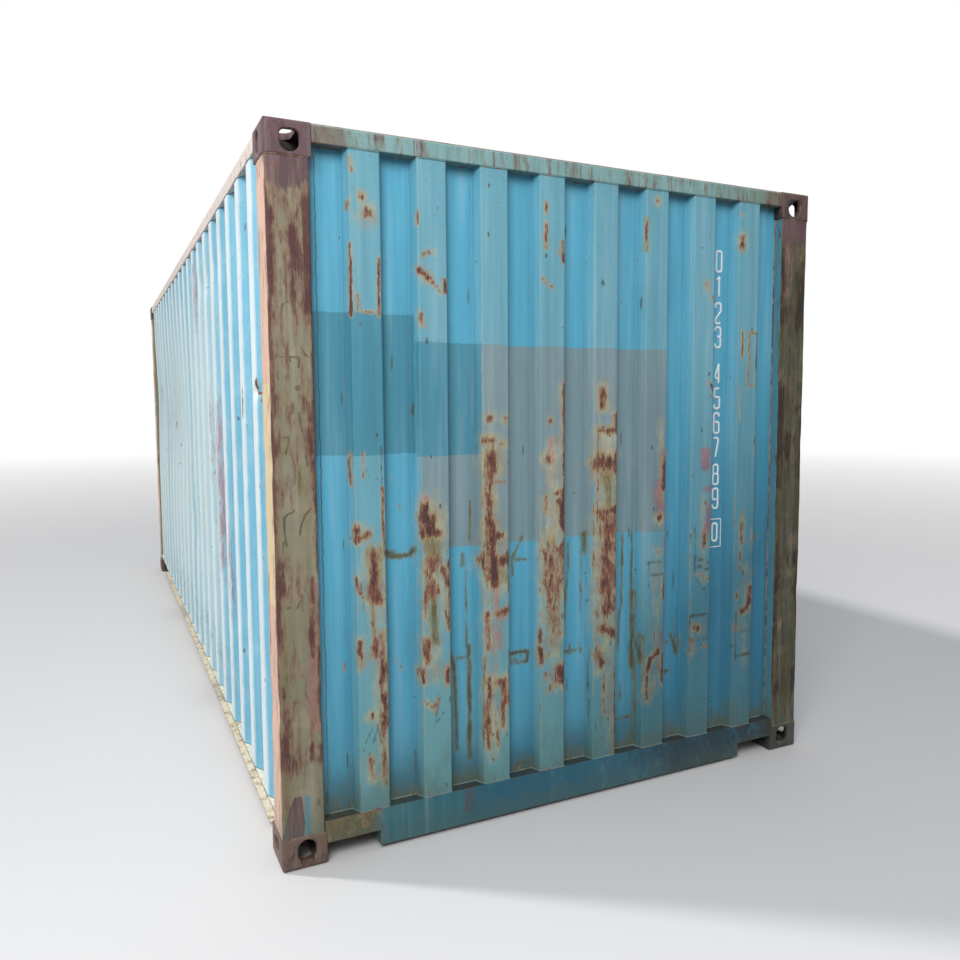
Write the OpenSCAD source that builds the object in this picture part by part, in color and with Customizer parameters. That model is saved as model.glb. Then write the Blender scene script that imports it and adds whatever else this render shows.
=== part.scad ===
// Steel dry-cargo shipping container, standing on its eight corner castings.
// X runs across it, Y along it from the blind front end at -Y to the door end at +Y, and Z up.
// The origin is under its middle, at the height of the ground.

/* [Overall size] */
// Width over the corner castings
box_w = 2438; // [2300:1:2600]
// Length over the corner castings
box_l = 6058; // [5600:1:6600]
// Height over the corner castings
box_h = 2591; // [2300:1:2900]
// How far rails and side walls stand inside the casting faces
face_inset = 5; // [5:0.5:8]
// Height of the rails' underside over the ground
base_z = 17; // [12:1:22]
// How far the roof lies below the castings' tops
roof_drop = 6; // [4:0.5:8]

/* [Corner castings] */
// Casting width, across the container
casting_w = 162; // [156:1:170]
// Casting length, along the container
casting_l = 178; // [172:1:190]
// Casting height
casting_h = 118; // [114:1:126]
// Radius of the casting's outermost edges
casting_r = 17; // [8:1:20]
// Radius of its other edges
casting_edge_r = 5; // [2:0.5:5]
// Wall round the twistlock slot
slot_wall = 24; // [16:1:28]
// Wall round the side and end holes
hole_wall = 16; // [12:1:20]
// Wall on the inner faces
casting_wall = 12; // [8:1:14]
// Twistlock slot length
slot_l = 124.5; // [110:0.5:128]
// Twistlock slot width
slot_w = 63.5; // [50:0.5:66]
// Slot centre from the end face
slot_from_end = 101.5; // [98:0.5:103]
// Slot centre from the side face
slot_from_side = 89.5; // [84:0.5:92]
// Length of the oblong side hole
side_hole_l = 79.5; // [70:0.5:81]
// Width of the oblong side hole
side_hole_w = 51; // [40:0.5:56]
// Width of the shield-shaped end hole
end_hole_w = 66; // [56:1:70]
// Height of the shield-shaped end hole
end_hole_h = 73; // [60:1:75]
// Corner radius at the end hole's flat end
end_hole_r = 20; // [10:0.5:24]
// Bevel round every casting hole
hole_bevel = 4; // [2:0.5:5]
// Gap between a casting and the plates cut out round it
casting_gap = 0.3; // [0.1:0.1:0.5]

/* [Corner posts] */
// Plate thickness of the posts
post_t = 6; // [4:0.5:8]
// Outer bend radius of the posts
post_r = 11; // [9:0.5:14]
// How far the posts stand inside the casting faces
post_inset = 4; // [3:0.5:5]
// Front post width on the end face
front_post_w = 156; // [140:1:160]
// Front post width on the side face
front_post_l = 157; // [140:1:170]
// Rear post width on the side face
rear_post_l = 150; // [135:1:165]
// Rear post width on the end face
rear_post_w = 66; // [55:1:75]
// Width of the stop lip that the doors close on
stop_lip_w = 34; // [20:1:45]

/* [Rails] */
// Width and height of the top rail tubes
top_rail_w = 60; // [50:1:70]
// Wall of the top rail tubes
top_rail_t = 3; // [2:0.5:5]
// Corner radius of the top rail tubes
top_rail_r = 6; // [4:0.5:9]
// Height of the side bottom rails' upper face
side_rail_top = 165; // [155:1:185]
// Width of their top flange
side_rail_flange = 48; // [44:1:60]
// Width of their bottom flange
side_rail_lip = 30; // [20:1:40]
// Plate thickness of the side bottom rails
side_rail_t = 4.5; // [3:0.5:6]
// Length of bottom flange left off beside each casting
lip_cut = 175; // [100:5:250]
// Root gap of the welds between plates and channels
weld_gap = 0.3; // [0.2:0.1:0.6]
// Height of the front bottom rail's upper face
front_rail_top = 157; // [150:1:170]
// Depth of the front bottom rail
front_rail_d = 60; // [58:1:80]
// Plate thickness of the front bottom rail
front_rail_t = 4; // [3:0.5:6]
// Length of the recess beside each casting in the end rails
recess_l = 200; // [150:5:260]
// Height of that recess's roof
recess_z = 75; // [60:1:90]

/* [Walls and roof] */
// Thickness of the front wall and roof sheets
end_sheet_t = 2; // [1.5:0.1:3]
// Thickness of the side wall sheets
side_sheet_t = 1.6; // [1.2:0.1:3]
// How far the front wall's outer faces stand inside the casting faces
front_wall_inset = 8; // [5:0.5:12]
// Depth of the front wall's corrugation
front_depth = 45.6; // [36:0.2:48]
// Outer face of a front wall corrugation
front_outer = 110; // [90:1:130]
// Inner face of a front wall corrugation
front_inner = 104; // [90:1:130]
// Width of a front wall slope
front_slope = 18; // [12:1:30]
// Depth of the side walls' corrugation
side_depth = 36; // [28:0.5:38]
// Outer face of a side wall corrugation
side_outer = 72; // [60:1:90]
// Inner face of a side wall corrugation
side_inner = 70; // [60:1:90]
// Width of a side wall slope
side_slope = 68; // [50:1:80]
// Flat strip between the front post and the first side corrugation
side_first = 58; // [30:1:90]
// Depth of the roof's grooves
groove_d = 20; // [12:1:24]
// Outer face between two roof grooves
roof_outer = 91; // [70:1:110]
// Bottom face of a roof groove
roof_inner = 91; // [70:1:110]
// Width of a roof groove's slope
roof_slope = 13.5; // [10:0.5:20]
// Flat edge of the roof beyond the groove ends
roof_margin = 90; // [80:1:130]
// Thickness of the plates on the roof's ends
end_plate_t = 3; // [2:0.5:4]
// Length of the plates on the roof's ends
end_plate_l = 280; // [220:5:340]

/* [Floor and underframe] */
// Height of a cross member
cross_h = 122; // [110:1:130]
// Width of a cross member's top flange
cross_flange = 45; // [35:1:60]
// Width of a cross member's bottom flange
cross_lip = 40; // [30:1:55]
// Plate thickness of a cross member
cross_t = 4; // [3:0.5:5]
// Widest space between two cross members
cross_step = 345; // [280:5:420]
// Distance between the fork pocket centres
pocket_step = 2050; // [1800:10:2200]
// Clear width of a fork pocket
pocket_w = 360; // [300:5:380]
// Thickness of a fork pocket's top plate
pocket_top_t = 3; // [2:0.5:5]
// Thickness of a fork pocket's straps
strap_t = 4; // [3:0.5:6]
// Width of a fork pocket's straps
strap_w = 200; // [120:10:300]
// Thickness of the floor boards
floor_t = 28; // [21:1:32]
// Number of floor boards in a row
floor_rows = 5; // [3:1:8]
// Joint between floor boards
floor_joint = 2; // [1:0.5:5]

/* [Door end] */
// Depth of the header and sill faces behind the casting faces
sill_set = 58; // [54:1:66]
// Depth of the header and sill channels
sill_d = 102; // [90:1:120]
// Plate thickness of the header and sill
sill_t = 4; // [3:0.5:6]
// Height of the sill's upper face
sill_top = 160; // [150:1:170]
// Height of the header
header_h = 136; // [120:1:150]
// Depth of the doors' outer faces behind the casting faces
door_set = 68; // [66:1:74]
// Thickness of a door frame
door_t = 50; // [45:1:52]
// Width of a door's upright tubes
door_tube_w = 100; // [80:1:120]
// Height of a door's top and bottom channels
door_rail_h = 150; // [120:1:170]
// Wall of the door frame
door_wall = 3; // [2:0.5:4]
// Corner radius of the door's upright tubes
door_tube_r = 5; // [4.5:0.5:8]
// Gap round each door
door_gap = 8; // [6:0.5:12]
// Gap between the two doors
door_middle = 10; // [8:0.5:14]
// Depth of the door panels' grooves
door_groove_d = 36; // [24:1:40]
// Bottom face of a door groove
door_groove_w = 130; // [90:5:160]
// Width of a door groove's slope
door_groove_slope = 45; // [30:1:60]
// Number of grooves in a door panel
door_grooves = 3; // [2:1:4]
// Play of the rubber seals in their gaps
seal_play = 0.3; // [0.2:0.1:0.5]
// Depth of the rubber seals
seal_d = 26; // [18:1:34]

/* [Lock gear] */
// Lock rod diameter
rod_d = 34; // [30:1:38]
// Wall of a lock rod's tube
rod_wall = 3.2; // [2:0.2:5]
// Depth of the rods' axes behind the casting faces
rod_set = 34; // [30:1:36]
// Outer rod's distance from the door's hinge edge
rod_outer_x = 200; // [160:5:260]
// Inner rod's distance from the door's middle edge
rod_inner_x = 300; // [240:5:380]
// Running clearance round the rods
rod_play = 0.5; // [0.3:0.1:1]
// Height of a cam on a rod's end
cam_h = 46; // [36:1:56]
// Length of a cam's nose from the rod's axis
cam_l = 48; // [44:1:56]
// Thickness of a cam's nose
cam_t = 22; // [16:1:26]
// Thickness of the collar between a rod and its cam
cam_collar = 4; // [3:0.5:6]
// Clearance of a cam in its keeper
cam_play = 2; // [1:0.5:4]
// Plate thickness of a keeper
keeper_t = 10; // [8:1:14]
// Wall of a rod bracket's ring
ring_t = 7; // [5:0.5:9]
// Height of a rod bracket
bracket_h = 60; // [40:1:80]
// How far a bracket's base reaches past its ring
base_margin = 20; // [12:1:30]
// Thickness of bases and handle bars
bar_t = 8; // [6:0.5:10]
// Height of the lower handles over the brackets beside them
handle_up = 75; // [68:1:90]
// Height between the lower and the upper handles
handle_rise = 90; // [84:1:100]
// Length of a handle from its rod's axis
handle_l = 430; // [360:5:460]
// Width of a handle bar
handle_w = 30; // [24:1:34]
// Length of a handle's bends at its hub and at its grip
handle_bend = 45; // [30:1:60]
// Distance of a handle's catch from the grip's end
catch_back = 100; // [80:5:140]
// Width of a catch's base plate
catch_w = 80; // [60:5:100]

/* [Hinges] */
// Hinges on each door
hinges = 4; // [3:1:5]
// Diameter of a hinge pin
pin_d = 16; // [12:1:18]
// Running clearance round a hinge pin
pin_play = 0.5; // [0.3:0.1:1]
// Height of a hinge blade
blade_h = 90; // [60:1:120]
// Reach of a hinge blade onto the door
blade_l = 120; // [90:1:140]
// Thickness of a hinge blade and its lugs
blade_t = 10; // [8:1:12]
// Radius round a hinge pin
knuckle_r = 16; // [14:0.5:18]

/* [Hidden] */
$fn = 48;

half_w = box_w / 2;
half_l = box_l / 2;
// How far a cutter runs past the face that it cuts
past = 1;
// Flat steps in a plate's bend
bend_steps = 5;
roof_z = box_h - roof_drop;
rail_top = roof_z - end_sheet_t;
rail_bottom = rail_top - top_rail_w;
post_h = box_h - 2 * casting_h;
casting_x = half_w - casting_w;
casting_y = half_l - casting_l;
front_wall_x = half_w - front_post_w;
front_wall_y = -half_l + front_wall_inset;
side_wall_y0 = -half_l + front_post_l;
side_wall_y1 = half_l - rear_post_l;
front_pitch = front_outer + front_inner + 2 * front_slope;
side_pitch = side_outer + side_inner + 2 * side_slope;
front_ribs = floor((2 * front_wall_x + front_inner) / front_pitch);
side_ribs = floor((side_wall_y1 - side_wall_y0 - 2 * side_first + side_inner) / side_pitch);
web_x = half_w - face_inset - side_rail_flange;
frame_x = web_x - side_rail_t;
cross_top = base_z + cross_h;
pocket_bottom = base_z + max(strap_t, side_rail_t);
pocket_top = cross_top - pocket_top_t;
floor_y0 = -half_l + face_inset + front_rail_d + floor_joint;
floor_y1 = half_l - sill_set - sill_d - floor_joint;
opening_x = half_w - rear_post_w;
header_bottom = rail_top - header_h;
stop_set = door_set + door_t + seal_play;
leaf_z0 = sill_top + door_gap;
leaf_z1 = header_bottom - door_gap;
leaf_h = leaf_z1 - leaf_z0;
leaf_x0 = opening_x - door_gap;
leaf_w = leaf_x0 - door_middle / 2;
rod_xs = [leaf_x0 - rod_outer_x, door_middle / 2 + rod_inner_x];
lower_cam_z = (recess_z + sill_t + sill_top - cam_h) / 2;
upper_cam_z = (header_bottom + rail_top - cam_h) / 2;
groove_pitch = (leaf_h - 2 * door_rail_h) / door_grooves;
handle_z = leaf_z0 + door_rail_h + groove_pitch + handle_up;
// Rod brackets sit on the door's flat bands and channels
bracket_zs = concat([leaf_z0 + door_rail_h / 2],
    [for (i = [1 : door_grooves - 1]) leaf_z0 + door_rail_h + i * groove_pitch],
    [leaf_z1 - door_rail_h / 2]);

bare_rust = [0.42, 0.30, 0.28];
post_olive = [0.58, 0.54, 0.42];
wall_blue = [0.40, 0.65, 0.74];
rail_brown = [0.45, 0.40, 0.34];
side_pale = [0.72, 0.84, 0.86];
board_brown = [0.48, 0.35, 0.22];
gear_grey = [0.50, 0.52, 0.53];
rubber_black = [0.09, 0.09, 0.09];

function unit_along(a, b) = (b - a) / norm(b - a);
function left_of(d) = [-d[1], d[0]];
function turned(v, a) = [v[0] * cos(a) - v[1] * sin(a), v[0] * sin(a) + v[1] * cos(a)];
function swapped(path) = [for (p = path) [p[1], p[0]]];
function backwards(path) = [for (i = [len(path) - 1 : -1 : 0]) path[i]];

// Point i of a path, moved d to the left of it, on the mitre line of its bend
function mitred(path, i, d) =
    let (last = len(path) - 1,
        before = unit_along(path[max(i - 1, 0)], path[max(i, 1)]),
        after = unit_along(path[min(i, last - 1)], path[min(i + 1, last)]),
        s = left_of(before) + left_of(after))
    path[i] + s * (2 * d / (s * s));
function beside(path, d) = [for (i = [0 : len(path) - 1]) mitred(path, i, d)];

// Arc of radius r in place of the corner b between a and c
function bend_at(a, b, c, r) =
    let (u = unit_along(a, b),
        v = unit_along(b, c),
        turn = atan2(cross(u, v), u * v),
        start = b - u * (r * tan(abs(turn) / 2)),
        centre = start + left_of(u) * (r * sign(turn)))
    [for (k = [0 : bend_steps]) centre + turned(start - centre, turn * k / bend_steps)];
function bent(path, r) = concat([path[0]],
    [for (i = [1 : len(path) - 2]) each bend_at(path[i - 1], path[i], path[i + 1], r)],
    [path[len(path) - 1]]);

// Corrugated line at edge_level, with count ribs at rib_level
function corrugation(first, last, start, count, rib, slope, between, edge_level, rib_level) =
    concat([[first, edge_level]],
        [for (i = [0 : count - 1])
            let (u = start + i * (rib + between + 2 * slope))
            each [[u, edge_level], [u + slope, rib_level],
                [u + slope + rib, rib_level], [u + 2 * slope + rib, edge_level]]],
        [[last, edge_level]]);

// Sheet of thickness t on the left of a path
module sheet_outline(path, t) {
    polygon(concat(path, backwards(beside(path, t))));
}

module rounded(w, h, r) {
    translate([r, 0]) square([w - 2 * r, h]);
    translate([0, r]) square([w, h - 2 * r]);
    for (x = [r, w - r])
        for (y = [r, h - r])
            translate([x, y]) circle(r = r);
}

module tube_outline(w, h, r, t) {
    difference() {
        rounded(w, h, r);
        translate([t, t]) rounded(w - 2 * t, h - 2 * t, r - t);
    }
}

// An outline in Y and Z, drawn out along X about the middle
module along_x(length) {
    rotate([90, 0, 90]) linear_extrude(length, center = true) children();
}

// An outline in X and Z, drawn out along Y about the middle
module along_y(length) {
    rotate([90, 0, 0]) linear_extrude(length, center = true) children();
}

// Children drawn from the end face inwards or from the side face inwards, set in their places
module at_front() {
    translate([0, -half_l, 0]) children();
}
module at_rear() {
    mirror([0, 1, 0]) at_front() children();
}
module at_left() {
    translate([-half_w, 0, 0]) children();
}
module at_right() {
    mirror([1, 0, 0]) at_left() children();
}

// The room that the castings take, with a hair of clearance
module casting_rooms() {
    for (sx = [-1, 1])
        for (sy = [-1, 1])
            for (z = [0, box_h - casting_h])
                translate([sx * (casting_x + half_w) / 2, sy * (casting_y + half_l) / 2, z + casting_h / 2])
                    cube([casting_w, casting_l, casting_h] + 2 * casting_gap * [1, 1, 1], center = true);
}

// Outline of a casting: its outer corner well rounded, the others only eased
module casting_outline(w, h) {
    rounded(w, h, casting_r);
    translate([casting_r, 0]) rounded(w - casting_r, h, casting_edge_r);
    translate([0, casting_r]) rounded(w, h - casting_r, casting_edge_r);
}

// Oblong hole along X through a wall from z = 0 up, bevelled where it starts
module oblong_hole(length, width, depth) {
    run = length - width;
    translate([-run / 2, -width / 2, -past]) cube([run, width, depth + 2 * past]);
    for (sx = [-1, 1])
        translate([sx * run / 2, 0, 0]) round_end(width / 2, depth);
    translate([-run / 2, 0, 0]) bevel_strip(run, width / 2);
}

// A hole's round end with its bevel, and the bevel along a straight side
module round_end(r, depth) {
    flare = hole_bevel + past;
    translate([0, 0, -past]) cylinder(r = r, h = depth + 2 * past);
    translate([0, 0, -past]) cylinder(h = flare, r1 = r + flare, r2 = r);
}
module bevel_strip(length, r) {
    flare = hole_bevel + past;
    rotate([90, 0, 90])
        linear_extrude(length)
            polygon([[-r - flare, -past], [r + flare, -past], [r, hole_bevel], [-r, hole_bevel]]);
}

// Shield-shaped hole: flat between two round corners at its low end, round at its high end along X
module shield_hole(depth) {
    r = end_hole_w / 2;
    run = end_hole_h - r;
    flat = end_hole_w - 2 * end_hole_r;
    translate([end_hole_r, -r, -past]) cube([run - end_hole_r, end_hole_w, depth + 2 * past]);
    translate([0, -flat / 2, -past]) cube([run, flat, depth + 2 * past]);
    for (sy = [-1, 1])
        translate([end_hole_r, sy * flat / 2, 0]) round_end(end_hole_r, depth);
    translate([run, 0, 0]) round_end(r, depth);
    translate([end_hole_r, 0, 0]) bevel_strip(run - end_hole_r, r);
    translate([end_hole_r, -flat / 2, 0]) rotate([0, 0, 90]) bevel_strip(flat, end_hole_r);
}

// Casting drawn from its outer corner inwards and from its slot's face upwards
module casting(side_hole_upright) {
    cavity_h = casting_h - slot_wall - casting_wall;
    side_hole_z = slot_wall + side_hole_l / 2;
    difference() {
        intersection() {
            linear_extrude(casting_h) casting_outline(casting_w, casting_l);
            translate([0, casting_l, 0])
                rotate([90, 0, 0]) linear_extrude(casting_l) casting_outline(casting_w, casting_h);
            rotate([90, 0, 90]) linear_extrude(casting_w) casting_outline(casting_l, casting_h);
        }
        translate([hole_wall, hole_wall, slot_wall])
            cube([casting_w - hole_wall - casting_wall, casting_l - hole_wall - casting_wall, cavity_h]);
        translate([slot_from_side, slot_from_end, 0])
            rotate([0, 0, 90]) oblong_hole(slot_l, slot_w, slot_wall);
        translate([0, slot_from_end, side_hole_z])
            rotate([0, 90, 0])
                rotate([0, 0, side_hole_upright ? 0 : 90])
                    oblong_hole(side_hole_l, side_hole_w, hole_wall);
        translate([slot_from_side, 0, casting_h - casting_wall - end_hole_h])
            rotate([-90, 0, 0]) rotate([0, 0, -90]) shield_hole(hole_wall);
    }
}
module bottom_casting() {
    casting(false);
}
module top_casting() {
    translate([0, 0, box_h]) mirror([0, 0, 1]) casting(true);
}

// The front left foot's lip under its end hole is torn away, down to a ragged line
module torn_lip() {
    hole_foot = casting_h - casting_wall - end_hole_h;
    ragged = [[-0.41, 1.4], [-0.36, 0.7], [-0.2, 0.3], [0.03, 0.4], [0.21, 0.2], [0.36, 0.6], [0.41, 1.4]];
    translate([slot_from_side, hole_wall + past, 0])
        rotate([90, 0, 0])
            linear_extrude(hole_wall + 2 * past)
                polygon([for (p = ragged) [p[0] * end_hole_w, p[1] * hole_foot]]);
}
module front_left_bottom_casting() {
    color(bare_rust) at_front() at_left() difference() {
        bottom_casting();
        torn_lip();
    }
}
module front_right_bottom_casting() {
    color(bare_rust) at_front() at_right() bottom_casting();
}
module rear_left_bottom_casting() {
    color(bare_rust) at_rear() at_left() bottom_casting();
}
module rear_right_bottom_casting() {
    color(bare_rust) at_rear() at_right() bottom_casting();
}
module front_left_top_casting() {
    color(bare_rust) at_front() at_left() top_casting();
}
module front_right_top_casting() {
    color(bare_rust) at_front() at_right() top_casting();
}
module rear_left_top_casting() {
    color(bare_rust) at_rear() at_left() top_casting();
}
module rear_right_top_casting() {
    color(bare_rust) at_rear() at_right() top_casting();
}

// Pressed post between two castings: a folded plate with a return to each wall
module front_post() {
    side_return = face_inset + side_depth + side_sheet_t + post_t;
    end_return = front_wall_inset + front_depth + end_sheet_t + post_t;
    path = [[side_return, front_post_l], [post_inset, front_post_l], [post_inset, post_inset],
        [front_post_w, post_inset], [front_post_w, end_return]];
    translate([0, 0, casting_h]) linear_extrude(post_h) sheet_outline(bent(path, post_r), post_t);
}
module rear_post() {
    side_return = face_inset + side_depth + side_sheet_t + post_t;
    path = [[side_return, rear_post_l], [post_inset, rear_post_l], [post_inset, post_inset],
        [rear_post_w, post_inset], [rear_post_w, stop_set], [rear_post_w + stop_lip_w, stop_set]];
    translate([0, 0, casting_h]) linear_extrude(post_h) sheet_outline(bent(path, post_r), post_t);
}
module front_left_post() {
    color(post_olive) at_front() at_left() front_post();
}
module front_right_post() {
    color(post_olive) at_front() at_right() front_post();
}
module rear_left_post() {
    color(post_olive) at_rear() at_left() rear_post();
}
module rear_right_post() {
    color(post_olive) at_rear() at_right() rear_post();
}

module top_rail_outline() {
    translate([face_inset, rail_bottom]) tube_outline(top_rail_w, top_rail_w, top_rail_r, top_rail_t);
}
module front_top_rail() {
    color(rail_brown) at_front() along_x(2 * casting_x) top_rail_outline();
}
module side_top_rail() {
    along_y(2 * casting_y) top_rail_outline();
}
module left_top_rail() {
    color(side_pale) at_left() side_top_rail();
}
module right_top_rail() {
    color(side_pale) at_right() side_top_rail();
}

// Channel open to the inside, its lower part cut back beside the castings for a closed recess
module end_channel(set, depth, t, z0, z1, length) {
    path = [[set + depth, z1], [set, z1], [set, z0], [set + depth, z0]];
    recess_x = casting_x - recess_l;
    difference() {
        along_x(length) sheet_outline(path, t);
        if (z0 < recess_z)
            for (sx = [-1, 1])
                translate([sx * (recess_x + half_w) / 2, set + depth / 2, z0])
                    cube([half_w - recess_x, depth + 2 * past, 2 * (recess_z - z0)], center = true);
    }
    if (z0 < recess_z)
        for (sx = [-1, 1]) {
            translate([sx * (recess_x + casting_x) / 2, set + depth / 2, recess_z + t / 2])
                cube([casting_x - recess_x, depth, t], center = true);
            translate([sx * (recess_x - t / 2), set + depth / 2, (z0 + recess_z + t) / 2])
                cube([t, depth, recess_z + t - z0], center = true);
        }
}
module front_bottom_rail() {
    color(rail_brown)
        difference() {
            at_front()
                end_channel(face_inset, front_rail_d, front_rail_t, base_z, front_rail_top, 2 * front_wall_x);
            casting_rooms();
        }
}

// Channel open to the outside, under the side wall, welded from three full lengths
// with a bridge over each fork pocket and a strap under it
module side_bottom_rail() {
    y0 = side_wall_y0;
    y1 = side_wall_y1;
    x1 = half_w - web_x;
    back = x1 + side_rail_t;
    path = [[x1 - side_rail_flange, side_rail_top], [back, side_rail_top], [back, base_z],
        [x1 - side_rail_lip, base_z]];
    difference() {
        translate([0, (y0 + y1) / 2, 0]) along_y(y1 - y0) sheet_outline(path, -side_rail_t);
        for (sy = [-1, 1]) {
            translate([x1 + side_rail_t / 2, sy * pocket_step / 2, (pocket_bottom + pocket_top) / 2])
                cube([side_rail_t + 2 * past, pocket_w, pocket_top - pocket_bottom], center = true);
            for (side = [-1, 1])
                translate([0, (sy * pocket_step + side * (pocket_w + weld_gap) - weld_gap) / 2, 0])
                    cube([2 * back, weld_gap, side_rail_top + past]);
            translate([x1 - side_rail_lip / 2 - past, sy * casting_y, base_z])
                cube([side_rail_lip + 2 * past, 2 * lip_cut, 3 * side_rail_t], center = true);
        }
    }
}
module left_bottom_rail() {
    color(side_pale) difference() {
        at_left() side_bottom_rail();
        casting_rooms();
    }
}
module right_bottom_rail() {
    color(side_pale) difference() {
        at_right() side_bottom_rail();
        casting_rooms();
    }
}

module front_wall() {
    start = -(front_ribs * front_pitch - front_inner) / 2;
    path = corrugation(-front_wall_x, front_wall_x, start, front_ribs, front_outer, front_slope, front_inner,
        front_depth, 0);
    color(wall_blue)
        difference() {
            translate([0, front_wall_y, front_rail_top])
                linear_extrude(rail_bottom - front_rail_top) sheet_outline(path, end_sheet_t);
            casting_rooms();
        }
}
module side_wall() {
    path = corrugation(side_wall_y0, side_wall_y1, side_wall_y0 + side_first, side_ribs, side_outer,
        side_slope, side_inner, side_depth, 0);
    translate([face_inset, 0, side_rail_top])
        linear_extrude(rail_bottom - side_rail_top) sheet_outline(swapped(path), -side_sheet_t);
}
module left_wall() {
    color(side_pale) difference() {
        at_left() side_wall();
        casting_rooms();
    }
}
module right_wall() {
    color(side_pale) difference() {
        at_right() side_wall();
        casting_rooms();
    }
}

// A groove's form: a long trough with four sloping sides, its open top at z = 0
module trough(half_length, half_width, depth, run) {
    intersection() {
        along_x(2 * half_length)
            polygon([[-half_width, past], [-half_width, 0], [run - half_width, -depth],
                [half_width - run, -depth], [half_width, 0], [half_width, past]]);
        along_y(2 * half_width)
            polygon([[-half_length, past], [-half_length, 0], [run - half_length, -depth],
                [half_length - run, -depth], [half_length, 0], [half_length, past]]);
    }
}
// Sheet with stamped cross grooves that are closed at their ends,
// and at both of its ends a plain strip between the castings
module roof() {
    roof_x = half_w - face_inset - top_rail_r;
    roof_y = half_l - face_inset - top_rail_r;
    sheet_y = casting_y - casting_gap;
    strip_l = roof_y - sheet_y - weld_gap;
    pitch = roof_outer + roof_inner + 2 * roof_slope;
    count = floor((2 * (half_l - end_plate_l) - roof_inner) / pitch);
    groove_x = roof_x - roof_margin;
    groove_y = roof_inner / 2 + roof_slope;
    color(side_pale)
        difference() {
            union() {
                translate([0, 0, roof_z - end_sheet_t / 2])
                    cube([2 * roof_x, 2 * sheet_y, end_sheet_t], center = true);
                for (sy = [-1, 1])
                    translate([0, sy * (roof_y - strip_l / 2), roof_z - end_sheet_t / 2])
                        cube([2 * (casting_x - casting_gap), strip_l, end_sheet_t], center = true);
                for (i = [0 : count - 1])
                    translate([0, (i - (count - 1) / 2) * pitch, rail_top + end_sheet_t / 2])
                        intersection() {
                            trough(groove_x + end_sheet_t, groove_y + end_sheet_t, groove_d + end_sheet_t / 2,
                                roof_slope);
                            translate([0, 0, -groove_d - end_sheet_t])
                                cube([2 * half_w, pitch, 2 * (groove_d + end_sheet_t)], center = true);
                        }
            }
            for (i = [0 : count - 1])
                translate([0, (i - (count - 1) / 2) * pitch, roof_z])
                    trough(groove_x, groove_y, groove_d, roof_slope);
        }
}
module roof_end_plates() {
    plate_y = half_l - face_inset - top_rail_r - end_plate_l / 2;
    color(rail_brown)
        for (sy = [-1, 1])
            translate([0, sy * plate_y, roof_z + end_plate_t / 2])
                cube([2 * casting_x - 2 * end_plate_t, end_plate_l, end_plate_t], center = true);
}

// Channel across the underframe, open to +Y or to -Y
module cross_channel(open_side = 1) {
    path = [[cross_flange, cross_top], [0, cross_top], [0, base_z], [cross_lip, base_z]];
    mirror([0, open_side < 0 ? 1 : 0, 0]) along_x(2 * frame_x) sheet_outline(path, cross_t);
}
// Cross members between two places along Y, evenly set and at most cross_step apart
module cross_row(y0, y1) {
    gaps = ceil((y1 - y0) / cross_step);
    for (i = [1 : gaps - 1])
        translate([0, y0 + i * (y1 - y0) / gaps, 0]) cross_channel();
}
module cross_members() {
    color(rail_brown) {
        cross_row(floor_y0 - floor_joint, -(pocket_step + pocket_w) / 2);
        cross_row(-(pocket_step - pocket_w) / 2, (pocket_step - pocket_w) / 2);
        cross_row((pocket_step + pocket_w) / 2, floor_y1 + floor_joint);
    }
}

// Tunnel for a fork: a channel on each side, a plate on top and a strap under each end,
// each a weld's root gap from the next
module fork_pocket() {
    plate_l = pocket_w - 2 * weld_gap;
    for (sy = [-1, 1])
        translate([0, sy * pocket_w / 2, 0]) cross_channel(sy);
    translate([0, 0, cross_top - pocket_top_t / 2])
        cube([2 * frame_x, plate_l, pocket_top_t], center = true);
    for (sx = [-1, 1])
        translate([sx * (frame_x - strap_w / 2), 0, base_z + strap_t / 2])
            cube([strap_w, plate_l, strap_t], center = true);
}
module front_fork_pocket() {
    color(rail_brown) translate([0, -pocket_step / 2, 0]) fork_pocket();
}
module rear_fork_pocket() {
    color(rail_brown) translate([0, pocket_step / 2, 0]) fork_pocket();
}

module floor_boards() {
    board_l = (floor_y1 - floor_y0 - (floor_rows - 1) * floor_joint) / floor_rows;
    board_w = frame_x - floor_joint * 3 / 2;
    color(board_brown)
        for (i = [0 : floor_rows - 1])
            for (x = [-board_w - floor_joint / 2, floor_joint / 2])
                translate([x, floor_y0 + i * (board_l + floor_joint), cross_top])
                    cube([board_w, board_l, floor_t]);
}

// Where the header and the sill meet the castings, short end pieces are welded on,
// which are notched round the posts' stop lips
module end_piece_cuts() {
    for (sx = [-1, 1]) {
        translate([sx * (casting_x - casting_gap - weld_gap / 2), 0, box_h / 2])
            cube([weld_gap, box_l, 2 * box_h], center = true);
        translate([sx * (opening_x - stop_lip_w / 2), half_l - stop_set + (post_r - post_t) / 2, box_h / 2])
            cube([stop_lip_w + 2 * weld_gap, post_r + post_t + 2 * weld_gap, 2 * box_h], center = true);
    }
}
module rear_header() {
    color(side_pale)
        difference() {
            at_rear() end_channel(sill_set, sill_d, sill_t, header_bottom, rail_top, 2 * opening_x);
            casting_rooms();
            end_piece_cuts();
        }
}
module rear_sill() {
    color(rail_brown)
        difference() {
            at_rear() end_channel(sill_set, sill_d, sill_t, base_z, sill_top, 2 * opening_x);
            casting_rooms();
            end_piece_cuts();
        }
}

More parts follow.
